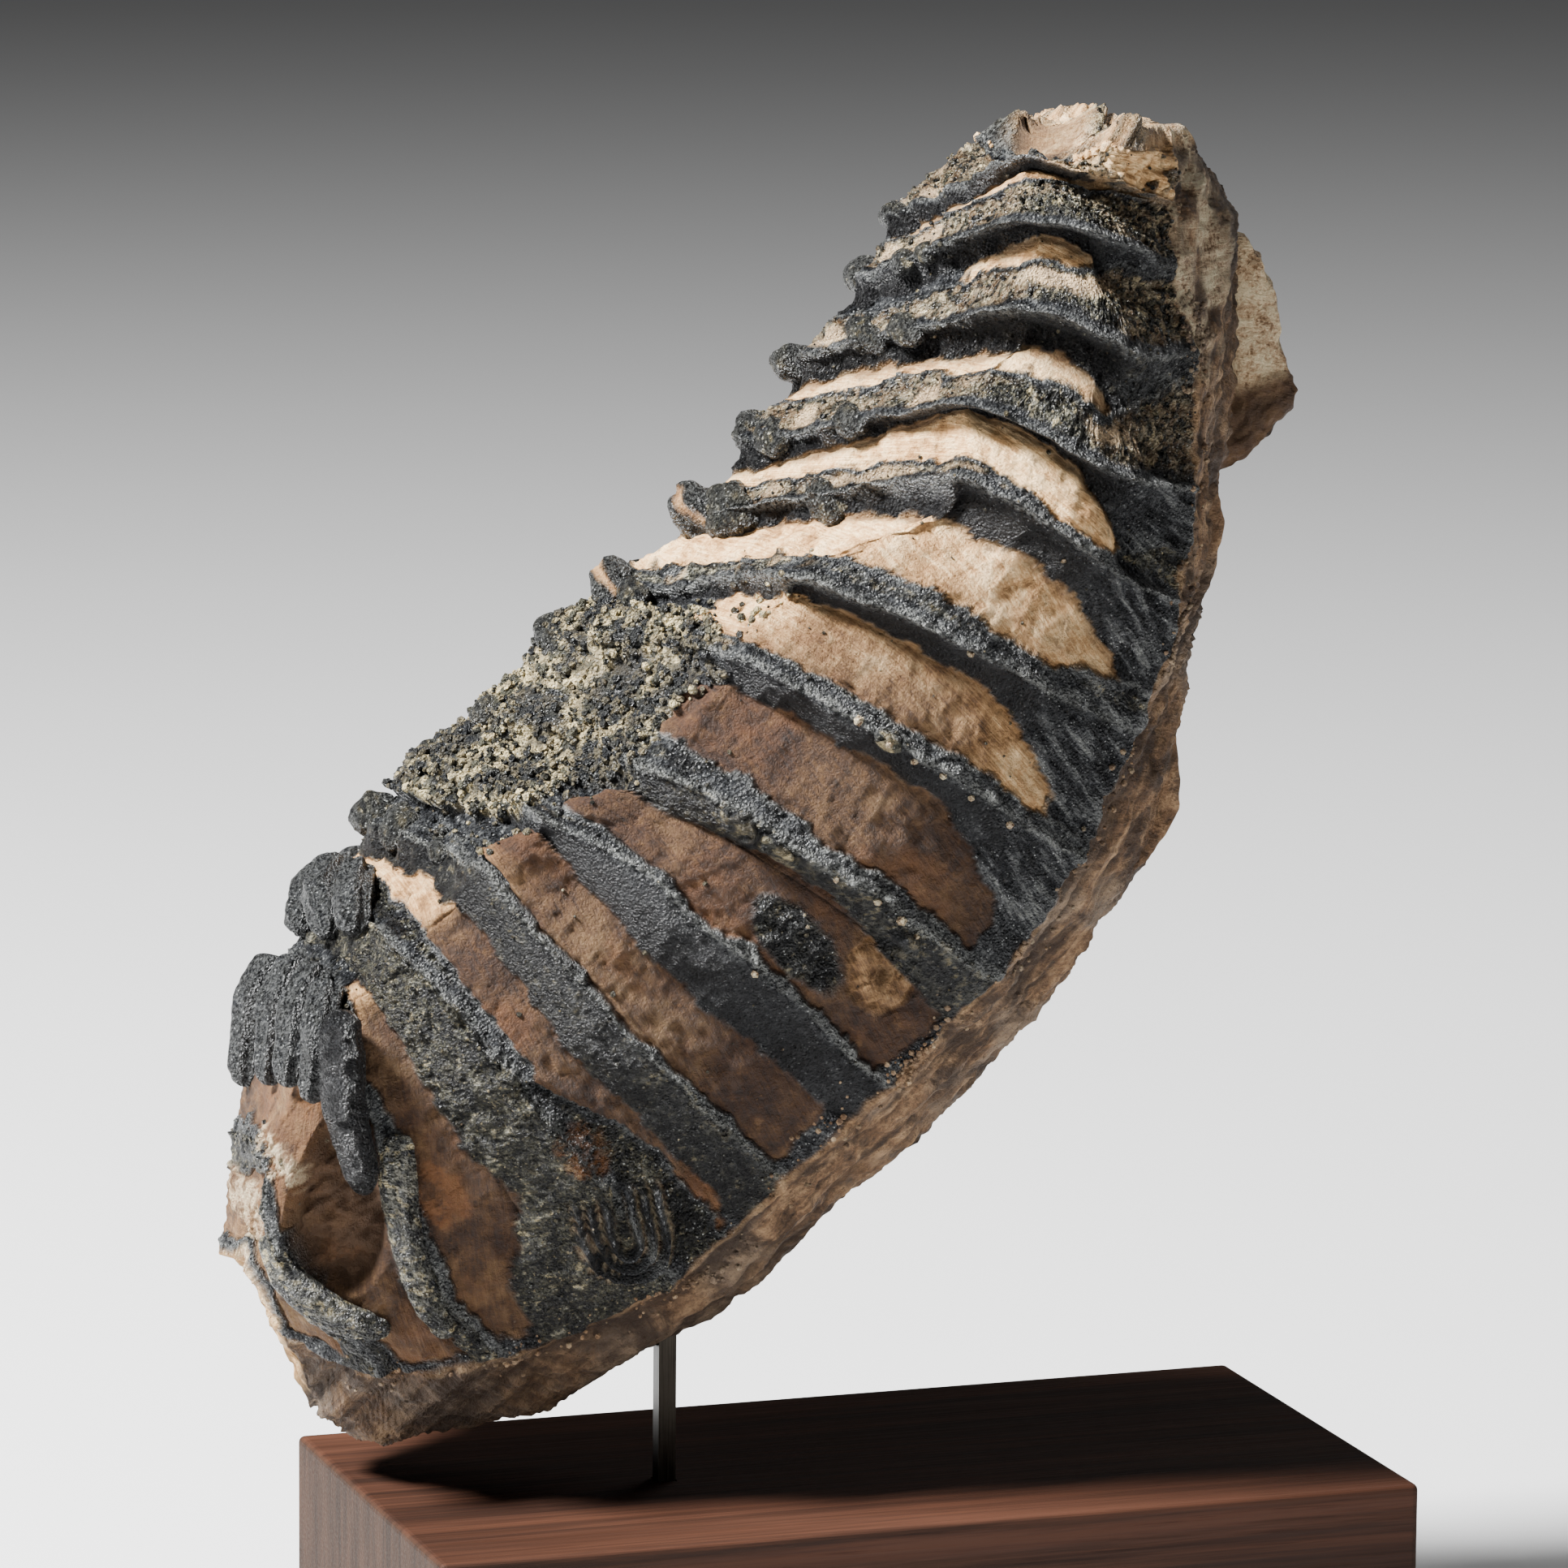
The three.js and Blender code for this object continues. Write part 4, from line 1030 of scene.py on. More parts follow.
def crumbs_piece(name, centre, size, masks, seed):
    """Many small stones as one piece: twenty-sided balls, each turned, flattened and dented at random."""
    golden = (1 + 5 ** 0.5) / 2
    ball = np.array([
        (-1, golden, 0), (1, golden, 0), (-1, -golden, 0), (1, -golden, 0), (0, -1, golden), (0, 1, golden),
        (0, -1, -golden), (0, 1, -golden), (golden, 0, -1), (golden, 0, 1), (-golden, 0, -1),
        (-golden, 0, 1)]) / math.sqrt(1 + golden ** 2)
    sides = np.array([
        (0, 11, 5), (0, 5, 1), (0, 1, 7), (0, 7, 10), (0, 10, 11), (1, 5, 9), (5, 11, 4), (11, 10, 2),
        (10, 7, 6), (7, 1, 8), (3, 9, 4), (3, 4, 2), (3, 2, 6), (3, 6, 8), (3, 8, 9), (4, 9, 5),
        (2, 4, 11), (6, 2, 10), (8, 6, 7), (9, 8, 1)])
    rng = np.random.default_rng(seed)
    count, corner_count = len(centre), len(ball)
    turn, _ = np.linalg.qr(rng.normal(size=(count, 3, 3)))
    turn[:, :, 0] *= np.linalg.det(turn)[:, None]
    scale = size[:, None] * (1 - CRUMB_FLATNESS * rng.random((count, 3)))
    dents = 1 + CRUMB_DENTS * (rng.random((count, corner_count, 1)) - 0.5)
    local = ball[None] * dents * scale[:, None, :]
    points = centre[:, None, :] + np.einsum("nvk,nkx->nvx", local, turn)
    tris = (sides[None] + corner_count * np.arange(count)[:, None, None]).reshape(-1, 3)
    values = dict(masks)
    values["grit"] = rng.random(count)
    values["chunk"] = rng.random(count)
    values["dome"] = 1.0
    values = {key: np.repeat(np.broadcast_to(np.asarray(value, float), (count,)), corner_count)
              for key, value in values.items()}
    return make_mesh(name, to_frame(points.reshape(-1, 3)), np.zeros((0, 4), int), tris,
                     np.arange(len(tris)), values)


def skin_places(p, t):
    """Finished places on the skin for pairs of p and t, with the outward direction and the masks."""
    t = np.asarray(t) % 1.0
    at, run, out = frame_of(form_at, p, t)
    along = (t - RIDGE) * 360
    fields = tooth_fields(p, t, at, run, along)
    return at - run * fields["back"][:, None] + out * fields["lift"][:, None], out, fields


def crust_piece():
    """Loose mineral grains over the crust near the biting edge, thinning out round its border."""
    rng = np.random.default_rng(57)
    p, t = rng.uniform(6.0, 9.9, CRUST_TRIES), rng.uniform(0.27, 0.60, CRUST_TRIES)
    at, out, fields = skin_places(p, t)
    keep = rng.random(len(p)) < np.clip(fields["crust"], 0.06, 0.75)
    at, out = at[keep], out[keep]
    size = 0.35 + 0.75 * rng.random(len(at)) ** 2.2
    return crumbs_piece("crust_grains", at + out * 0.25 * size[:, None], size, {"enamel": 1, "crust": 1}, 58)


def grit_piece():
    """Small bright crystals scattered over the rough brows of the plates."""
    rng = np.random.default_rng(77)
    p, t = rng.uniform(0.3, 13.2, GRIT_TRIES), rng.uniform(0.0, 0.62, GRIT_TRIES)
    at, out, fields = skin_places(p, t)
    chance = mix(0.42, 0.16, smooth(9.6, 10.2, p)) * fields["gritty"] * (1 - fields["beige"])
    chance = chance + 0.05 * fields["lip"] + 0.012
    keep = rng.random(len(p)) < chance * (1 - fields["crust"])
    at, out = at[keep], out[keep]
    size = 0.22 + 0.42 * rng.random(len(at)) ** 3
    p, t = np.array(NODULES).T
    nodule, facing, _ = skin_places(p, t)
    at, out = np.concatenate([at, nodule]), np.concatenate([out, facing])
    size = np.concatenate([size, 0.6 + 0.5 * rng.random(len(p))])
    pale = np.concatenate([0.35 * (rng.random(len(size) - len(p)) > 0.9), np.full(len(p), 0.8)])
    return crumbs_piece("brow_crystals", at + out * 0.2 * size[:, None], size,
                        {"enamel": 1, "gritty": 0.8, "crust": 0.2, "pale": pale}, 78)


def margin_piece():
    """Crumbs of bone along the line where the root's skin meets the crown, in clusters."""
    rng = np.random.default_rng(87)
    p, t = rng.uniform(0.3, 13.3, MARGIN_TRIES), rng.normal(-0.005, 0.007, MARGIN_TRIES)
    at, out, _ = skin_places(p, t)
    keep = rng.random(len(p)) < smooth(0.0, 0.5, swell(at, 9, 88)) * 0.8 + 0.06
    at, out = at[keep], out[keep]
    size = 0.25 + 0.55 * rng.random(len(at)) ** 2.5
    return crumbs_piece("margin_crumbs", at - out * 0.1 * size[:, None], size,
                        {"root": 1.0, "pale": 0.25 * rng.random(len(at)) ** 2}, 89)


def rim_piece():
    """Broken crumbs of cement and enamel round the upper end's rim."""
    rng = np.random.default_rng(91)
    t = rng.uniform(-0.03, 1.0, RIM_TRIES)
    p = rng.uniform(0.0, 0.10, RIM_TRIES) ** 1.5
    at, _, _ = skin_places(p, t)
    middle = corners(np.zeros(1))[0].mean(axis=0)
    inward = rng.random(RIM_TRIES)[:, None] ** 1.5 * 0.08
    place = mix(at, middle, inward)
    place[:, 2] += 0.2 + 0.9 * swell(at, 6, 92)
    chosen = rng.random(RIM_TRIES) < 0.10 + 0.55 * smooth(-0.1, 0.3, swell(at, 5, 95))
    beside_cavity = (np.abs(place[:, 0] - CAVITY[0]) > CAVITY[2]) | (place[:, 1] > 0)
    place = place[chosen & (place[:, 0] < RIM_RIGHT) & beside_cavity]
    size = 0.35 + 0.8 * rng.random(len(place)) ** 3
    grey = smooth(-0.1, 0.2, swell(place, 7, 93))
    masks = {"enamel": grey, "gritty": grey, "stain": 0.4 * rng.random(len(place)),
             "pale": 0.4 * rng.random(len(place)) ** 2}
    return crumbs_piece("rim_crumbs", place, size, masks, 94)


def flake_piece():
    """A flat splinter of bone behind the root margin.

    Its outline is walked round; each ring between the outline and the middle is drawn in, and the
    thickness falls off towards the edge as the root of the distance. Its lower part is rough.
    """
    closed = np.array(FLAKE_OUTLINE + FLAKE_OUTLINE[:1])
    s = np.append(0, np.cumsum(np.linalg.norm(np.diff(closed, axis=0), axis=1)))
    walk = np.linspace(0, s[-1], 220, endpoint=False)
    x, z = np.interp(walk, s, closed[:, 0]), np.interp(walk, s, closed[:, 1])
    v = np.linspace(-0.97, 0.97, 90)[:, None]
    share = np.sqrt(1 - v ** 2)
    share = np.clip(1.02 * share / share.max(), 0, 1)
    px, pz = mix(x.mean(), x, share), mix(z.mean(), z, share)
    thick = FLAKE_THICK * np.sign(v) * np.sqrt(1 - share ** 3 * 0.93)
    points = np.stack([px, FLAKE_DEPTH + thick + 0 * px, pz], axis=-1)
    low = 1 - smooth(-2, 3, points[..., 2] - (FLAKE_ROUGH_BELOW + 0.35 * (points[..., 0] - x.mean())))
    rough = 0.25 * cloud(points, 5, 401, 3) + low * (0.8 * cloud(points, 2.6, 405, 3))
    edge = share ** 6
    points[..., 1] += rough * np.sign(v)
    points[..., 0] += edge * 0.7 * swell(points, 1.6, 411)
    points[..., 2] += edge * 0.7 * swell(points, 1.6, 412)
    vertices, quads, tris = closed_grid(points[None])
    dirty = 0.30 * smooth(0.0, 0.6, swell(points * np.array([1, 1, 0.2]), 4.0, 416))
    # The shade mask here darkens patches of the flake's rough lower part.
    values = {"hollow": low, "root": dirty * (1 - low), "pale": 0.75 * (1 - low), "stain": 0.85 * low,
              "shade": 0.35 * low * smooth(-0.1, 0.3, swell(points, 2.4, 415)),
              "across": points[..., 2], "along": points[..., 0]}
    values = {key: ring_ends(mask[None]) for key, mask in values.items()}
    return make_mesh("bone_flake", to_frame(vertices), quads, tris, None, values)


# ------------------------------------------------------------------ finishes
def linear(colour):
    """A screen colour as the linear values that a shader takes."""
    c = np.array(colour[:3])
    out = np.where(c <= 0.04045, c / 12.92, ((c + 0.055) / 1.055) ** 2.4)
    return (*out, 1.0)


class Finish:
    """Builds one node material, a call for each kind of node."""

    def __init__(self, name):
        self.material = bpy.data.materials.new(name)
        self.material.use_nodes = True
        self.tree = self.material.node_tree
        self.shader = self.tree.nodes["Principled BSDF"]
        self.object = self.node("ShaderNodeTexCoord").outputs["Object"]

    def node(self, kind, **settings):
        """A new node with its settings."""
        node = self.tree.nodes.new(kind)
        for key, value in settings.items():
            setattr(node, key, value)
        return node

    def feed(self, socket, value):
        """Links a socket into another, or sets a number or colour on it."""
        if isinstance(value, bpy.types.NodeSocket):
            self.tree.links.new(value, socket)
        else:
            socket.default_value = value

    def mask(self, name):
        """One of the skin's own masks, by its name."""
        return self.node("ShaderNodeAttribute", attribute_name=name).outputs["Fac"]

    def math(self, operation, a, b=0.0):
        """Two values put together by one operation."""
        node = self.node("ShaderNodeMath", operation=operation)
        self.feed(node.inputs[0], a)
        self.feed(node.inputs[1], b)
        return node.outputs[0]

    def part(self, name, value):
        """A mask times a value."""
        return self.math("MULTIPLY", self.mask(name), value)

    def total(self, *terms):
        """The sum of values and their weights, given in turn: value, weight, value, weight."""
        out = None
        for value, weight in zip(terms[::2], terms[1::2]):
            term = value if weight == 1 else self.math("MULTIPLY", value, weight)
            out = term if out is None else self.math("ADD", out, term)
        return out

    def noise(self, scale, vector=None, detail=4.0, roughness=0.55, distortion=0.0):
        """Cloudy noise, on the object's coordinates unless a vector is given."""
        node = self.node("ShaderNodeTexNoise")
        self.feed(node.inputs["Vector"], vector or self.object)
        for key, value in (("Scale", scale), ("Detail", detail), ("Roughness", roughness),
                           ("Distortion", distortion)):
            node.inputs[key].default_value = value
        return node.outputs["Fac"]

    def cells(self, scale):
        """Cells of a random colour each: (distance from the cell's seed point, its colour)."""
        node = self.node("ShaderNodeTexVoronoi")
        self.feed(node.inputs["Vector"], self.object)
        node.inputs["Scale"].default_value = scale
        return node.outputs["Distance"], node.outputs["Color"]

    def stretch(self, scale, vector=None):
        """Coordinates scaled along each axis."""
        node = self.node("ShaderNodeMapping")
        self.feed(node.inputs["Vector"], vector or self.object)
        node.inputs["Scale"].default_value = scale
        return node.outputs["Vector"]

    def join(self, x, y):
        """Two values as the x and y of a vector."""
        node = self.node("ShaderNodeCombineXYZ")
        self.feed(node.inputs["X"], x)
        self.feed(node.inputs["Y"], y)
        return node.outputs[0]

    def span(self, value, low, high, to_low=0.0, to_high=1.0):
        """A value carried from one range to another, and held at its ends."""
        node = self.node("ShaderNodeMapRange", clamp=True)
        for socket, number in zip(node.inputs, (value, low, high, to_low, to_high)):
            self.feed(socket, number)
        return node.outputs[0]

    def ramp(self, value, *stops):
        """A colour for a value, blended between stops that are a place and a colour each."""
        node = self.node("ShaderNodeValToRGB")
        self.feed(node.inputs["Fac"], value)
        points = node.color_ramp.elements
        while len(points) < len(stops):
            points.new(0.5)
        for point, (place, colour) in zip(points, stops):
            point.position = place
            point.color = linear(colour)
        return node.outputs["Color"]

    def blend(self, share, a, b, mode="MIX"):
        """Colour a at a share of 0 and b at 1, or b worked into a by another mode."""
        node = self.node("ShaderNodeMix", data_type="RGBA", blend_type=mode)
        self.feed(node.inputs[0], share)
        for socket, colour in ((node.inputs[6], a), (node.inputs[7], b)):
            self.feed(socket, colour if isinstance(colour, bpy.types.NodeSocket) else linear(colour))
        return node.outputs[2]

    def lay(self, base, *layers):
        """Colours laid over a base in turn, each given by its share and its colour."""
        for share, colour in layers:
            base = self.blend(share, base, colour)
        return base

    def bump(self, height, strength, distance):
        """Fine relief of the surface, from a height."""
        node = self.node("ShaderNodeBump")
        self.feed(node.inputs["Height"], height)
        node.inputs["Strength"].default_value = strength
        node.inputs["Distance"].default_value = distance
        self.feed(self.shader.inputs["Normal"], node.outputs["Normal"])

    def surface(self, colour, roughness, **sockets):
        """Sets the shader's colour, its roughness and any other socket."""
        sockets.update(Base_Color=colour, Roughness=roughness)
        for key, value in sockets.items():
            self.feed(self.shader.inputs[key.replace("_", " ")], value)
        return self.material


def stone_patterns(f):
    """Patterns that the tooth's finishes share, from broad clouds to single crystals."""
    along, across = f.mask("along"), f.mask("across")
    slant = f.join(f.total(along, 1, across, -FIBRE_SLANT), f.total(across, 1, along, FIBRE_SLANT))
    comb_run = f.join(f.total(across, 0.25, along, -0.97), f.total(across, 0.97, along, 0.25))
    run = f.join(along, across)
    crystals, cell_tone = f.cells(2000.0)
    return SimpleNamespace(
        fibres=f.noise(1.0, f.stretch((0.16, 2.6, 1.0), slant), 8.0, 0.70, 0.3),
        hairs=f.noise(1.0, f.stretch((0.55, 5.0, 1.0), slant), 4.0, 0.7, 0.8),
        comb_lines=f.noise(1.0, f.stretch((0.16, 1.5, 1.0), comb_run), 6.0, 0.7, 0.4),
        root_lines=f.noise(1.0, f.stretch((1.1, 0.10, 1.0), run), 5.0, 0.6),
        root_streaks=f.noise(1.0, f.stretch((0.30, 0.045, 1.0), run), 4.0, 0.6),
        broad=f.noise(60.0, None, 4.0, 0.6), middle=f.noise(300.0, None, 6.0, 0.65),
        small=f.noise(1300.0, None, 4.0, 0.7), crystals=crystals, cell_tone=cell_tone,
        dust=f.cells(3000.0)[0])


def cement_colour(f, look, s):
    """Cement: drawn-out fibres, darker round its sunken edges and in the crack as painted shade, with
    brown and rusty stain. The brown stain also paints shade towards the lower end.
    """
    tone = f.total(s.broad, 0.22, s.fibres, 0.28, s.middle, 0.30, s.small, 0.14, s.hairs, 0.06,
                   f.mask("stain"), -0.03)
    cement = f.ramp(tone, (0.36, look.cement_stain), (0.43, look.cement_dark), (0.49, look.cement_mid),
                    (0.55, look.cement_light))
    # Painted shade along the sunken window edges and in the crack.
    cement = f.blend(f.part("edge", f.span(s.middle, 0.40, 0.6, 0.0, 0.5)), cement, look.cement_dark)
    patches = f.span(f.noise(48.0, None, 5.0, 0.6), 0.38, 0.56, 0.92, 1.0)
    # Brown stain, which towards the lower end also paints shade.
    cement = f.blend(f.part("stain", patches), cement, look.stain_and_shade_tint, "MULTIPLY")
    rusty = f.math("MAXIMUM", f.part("stain", f.span(f.noise(40.0, None, 5.0, 0.65), 0.52, 0.66, 0.0, 0.3)),
                   f.part("rust", f.span(s.middle, 0.40, 0.55, 0.1, 0.45)))
    return f.lay(cement, (rusty, look.orange_stain),
                 (f.span(s.middle, 0.60, 0.68, 0.0, 0.7), look.cement_stain),
                 (f.span(s.small, 0.60, 0.70, 0.0, 0.6), look.cement_stain),
                 (f.part("hollow", f.span(s.middle, 0.42, 0.55, 0.95, 0.6)), look.hollow_brown))


def grit_colour(f, look, s, speckle):
    """Gritty cores and brows: single grains, fine olive grit and dark gaps."""
    gritty = f.ramp(f.mask("grit"), (0.06, look.enamel_dark), (0.40, look.grit_grey), (0.72, look.grit_pale),
                    (0.95, look.crust_pale))
    fine = f.ramp(f.cells(2600.0)[1], (0.10, look.enamel_dark), (0.36, look.olive_dark), (0.64, look.olive),
                  (0.85, look.grit_grey), (0.96, look.crust_dull))
    return f.lay(gritty, (f.part("olive", f.span(s.middle, 0.62, 0.56, 0.45, 0.95)), fine),
                 (f.span(speckle, 0.52, 0.44, 0.0, 0.9), look.enamel_dark))


def enamel_colour(f, look, s):
    """Enamel: speckled, combed beside the root, worn and partly painted light on its lips, under grit
    and crust, with painted shade in the gaps between grains and painted glints.
    """
    speckle = f.total(s.middle, 0.32, s.small, 0.34, s.cell_tone, 0.14, f.mask("comb"), 0.20)
    comb_tone = f.total(s.comb_lines, 0.6, f.mask("comb"), 0.2, s.small, 0.2)
    enamel = f.ramp(speckle, (0.42, look.enamel_dark), (0.52, look.enamel_mid), (0.64, look.enamel_light))
    quiet = f.ramp(speckle, (0.42, look.enamel_dark), (0.58, look.slate))
    combed = f.ramp(comb_tone, (0.42, look.enamel_dark), (0.51, look.enamel_mid), (0.58, look.enamel_light),
                    (0.66, look.lip_grey))
    beige = f.ramp(f.total(s.fibres, 0.5, s.middle, 0.5), (0.36, look.grit_grey), (0.48, look.beige_streak),
                   (0.64, look.cement_light))
    crust = f.ramp(f.mask("chunk"), (0.10, look.enamel_dark), (0.35, look.grit_grey), (0.60, look.crust_dull),
                   (0.92, look.crust_pale))
    crust = f.lay(crust, (f.span(s.small, 0.45, 0.62, 0.0, 0.6), look.grit_grey),
                  (f.span(f.noise(110.0, None, 4.0, 0.6), 0.44, 0.53, 0.0, 0.85), look.enamel_mid))
    grains_here = f.math("MAXIMUM", f.mask("crust"), f.mask("gritty"))
    # Painted shade in the low gaps between grains.
    gaps = f.math("MULTIPLY", f.span(f.mask("dome"), 0.30, 0.05), grains_here)
    # Painted glints: bright crystal faces laid into the colour.
    painted_glint = f.math("MULTIPLY", f.span(s.cell_tone, 0.76, 0.82), f.span(s.crystals, 0.40, 0.20))
    return f.lay(
        enamel, (f.part("slate", 0.85), quiet), (f.mask("margin"), combed),
        (f.part("lip", f.span(s.small, 0.44, 0.54, 0.1, 0.85)), look.lip_grey),
        (f.part("gritty", f.span(s.middle, 0.36, 0.54, 0.45, 1.0)), grit_colour(f, look, s, speckle)),
        (f.part("rust", f.span(s.middle, 0.46, 0.58, 0.0, 0.8)), look.rust_brown),
        (f.mask("beige"), beige), (f.part("crust", 0.95), crust),
        (f.math("MULTIPLY", gaps, 0.75), look.enamel_dark),
        (f.math("MULTIPLY", painted_glint, f.span(f.mask("slate"), 0.0, 1.0, 0.45, 0.12)), look.painted_glint_colour))


def root_colour(f, look, s):
    """Root: long fibres with grey weathered patches, dark blotches and painted shade."""
    tone = f.total(s.root_lines, 0.20, s.middle, 0.38, s.root_streaks, 0.22, s.small, 0.20)
    root = f.ramp(tone, (0.40, look.root_dark), (0.49, look.root_mid), (0.58, look.root_light))
    # The depth mask paints shade in the root's low places and on its lower end.
    return f.lay(root, (f.span(f.noise(45.0, None, 5.0, 0.6), 0.48, 0.58, 0.0, 0.55), look.root_grey),
                 (f.span(f.noise(85.0, None, 6.0, 0.7, 0.5), 0.48, 0.58, 0.0, 0.80), look.root_dark),
                 (f.part("depth", 0.80), look.root_dark),
                 (f.span(s.small, 0.57, 0.66, 0.0, 0.7), look.root_dark))


def tooth_finish(look):
    """Cement, enamel and root, with pale chips and painted shade, laid over each other by the skin's masks.
    """
    f = Finish("tooth_mineral")
    s = stone_patterns(f)
    bone = f.ramp(f.total(s.middle, 0.5, s.small, 0.5), (0.40, look.root_mid), (0.46, look.beige_streak),
                  (0.56, look.bone_pale))
    # The last layer uses the shade mask to darken towards the underside colour. It is painted shade, except
    # on the finger and the flake's lower part, where it is their own darker colour.
    colour = f.lay(cement_colour(f, look, s), (f.mask("enamel"), enamel_colour(f, look, s)),
                   (f.mask("root"), root_colour(f, look, s)), (f.mask("pale"), bone),
                   (f.part("shade", 0.85), look.underside))
    rough = f.total(f.span(f.mask("enamel"), 0.0, 1.0, 0.66, 0.24), 1, f.mask("slate"), 0.08,
                    f.span(s.small, 0.3, 0.7, -0.10, 0.18), 1)
    facets = f.math("MULTIPLY", f.total(s.crystals, 1.2, s.dust, 0.5, s.small, 1),
                    f.span(f.mask("slate"), 0.0, 1.0, 1.0, 0.5))
    height = f.total(s.small, 0.9, s.fibres, 0.4, s.hairs, 0.15,
                     f.part("root", f.total(s.middle, 1, s.root_lines, 1)), 1, f.part("enamel", facets), 1)
    f.bump(height, 1.0, 1.1 * MM)
    return f.surface(colour, rough, Specular_IOR_Level=0.30)


def wood_finish(look):
    """Straight dark grain along x, lighter and warmer on top as painted light; the sawn ends are
    lighter and greyer, with upright lines.
    """
    f = Finish("block_grain")
    lines = f.noise(1.0, f.stretch((6.0, 260.0, 260.0)), 8.0, 0.72, 0.5)
    pores = f.noise(1.0, f.stretch((45.0, 1700.0, 1700.0)), 3.0, 0.6)
    broad = f.noise(1.0, f.stretch((4.0, 40.0, 40.0)), 3.0, 0.5)
    tone = f.total(lines, 0.6, broad, 0.4)
    colour = f.ramp(tone, (0.40, look.wood_dark), (0.5, look.wood_mid), (0.60, look.wood_light))
    place = f.node("ShaderNodeSeparateXYZ")
    f.feed(place.inputs[0], f.object)
    # 1 on the block's two ends and on its top, fading out within a millimetre below the surface
    from_middle = f.math("ABSOLUTE", f.math("SUBTRACT", place.outputs["X"], BLOCK_MIDDLE.x))
    half = BLOCK_HIGH.x - BLOCK_MIDDLE.x
    end = f.span(from_middle, half - 0.8 * MM, half - 0.2 * MM)
    top = f.span(place.outputs["Z"], BLOCK_HIGH.z - 0.8 * MM, BLOCK_HIGH.z - 0.3 * MM)
    end_lines = f.noise(1.0, f.stretch((0.0, 420.0, 30.0)), 7.0, 0.7, 0.6)
    # Lighter, greyer colour of the sawn ends, with upright lines.
    end_tone = f.ramp(end_lines, (0.38, look.end_dark), (0.62, look.end_light))
    # Painted light: the block's top is lighter and warmer.
    painted_top_light = f.math("MULTIPLY", top, f.span(tone, 0.40, 0.60, 0.10, 0.30))
    colour = f.lay(colour, (f.span(pores, 0.60, 0.72, 0.0, 0.6), look.wood_dark),
                   (f.math("MULTIPLY", end, 0.85), end_tone), (painted_top_light, look.painted_top_light_colour))
    f.bump(f.total(pores, 1, lines, 1), 0.25, 0.3 * MM)
    return f.surface(colour, f.span(pores, 0.3, 0.7, 0.55, 0.75), Specular_IOR_Level=0.10)


def steel_finish(look):
    """Brushed steel: fine lines along z in its tone, gloss and bump."""
    f = Finish("bar_brushed")
    lines = f.noise(1.0, f.stretch((5200.0, 5200.0, 90.0)), 4.0, 0.6)
    colour = f.ramp(f.total(lines, 0.7, f.noise(120.0), 0.3), (0.35, look.steel_dark),
                    (0.65, look.steel_light))
    f.bump(lines, 0.3, 0.1 * MM)
    return f.surface(colour, f.span(lines, 0.35, 0.65, 0.28, 0.45), Metallic=1.0)


# ------------------------------------------------------------------ settings
def colour_setting(name, description, default):
    """A colour property, given as it looks on screen."""
    return FloatVectorProperty(name=name, description=description, default=default, size=3,
                               subtype="COLOR_GAMMA", min=0, max=1)


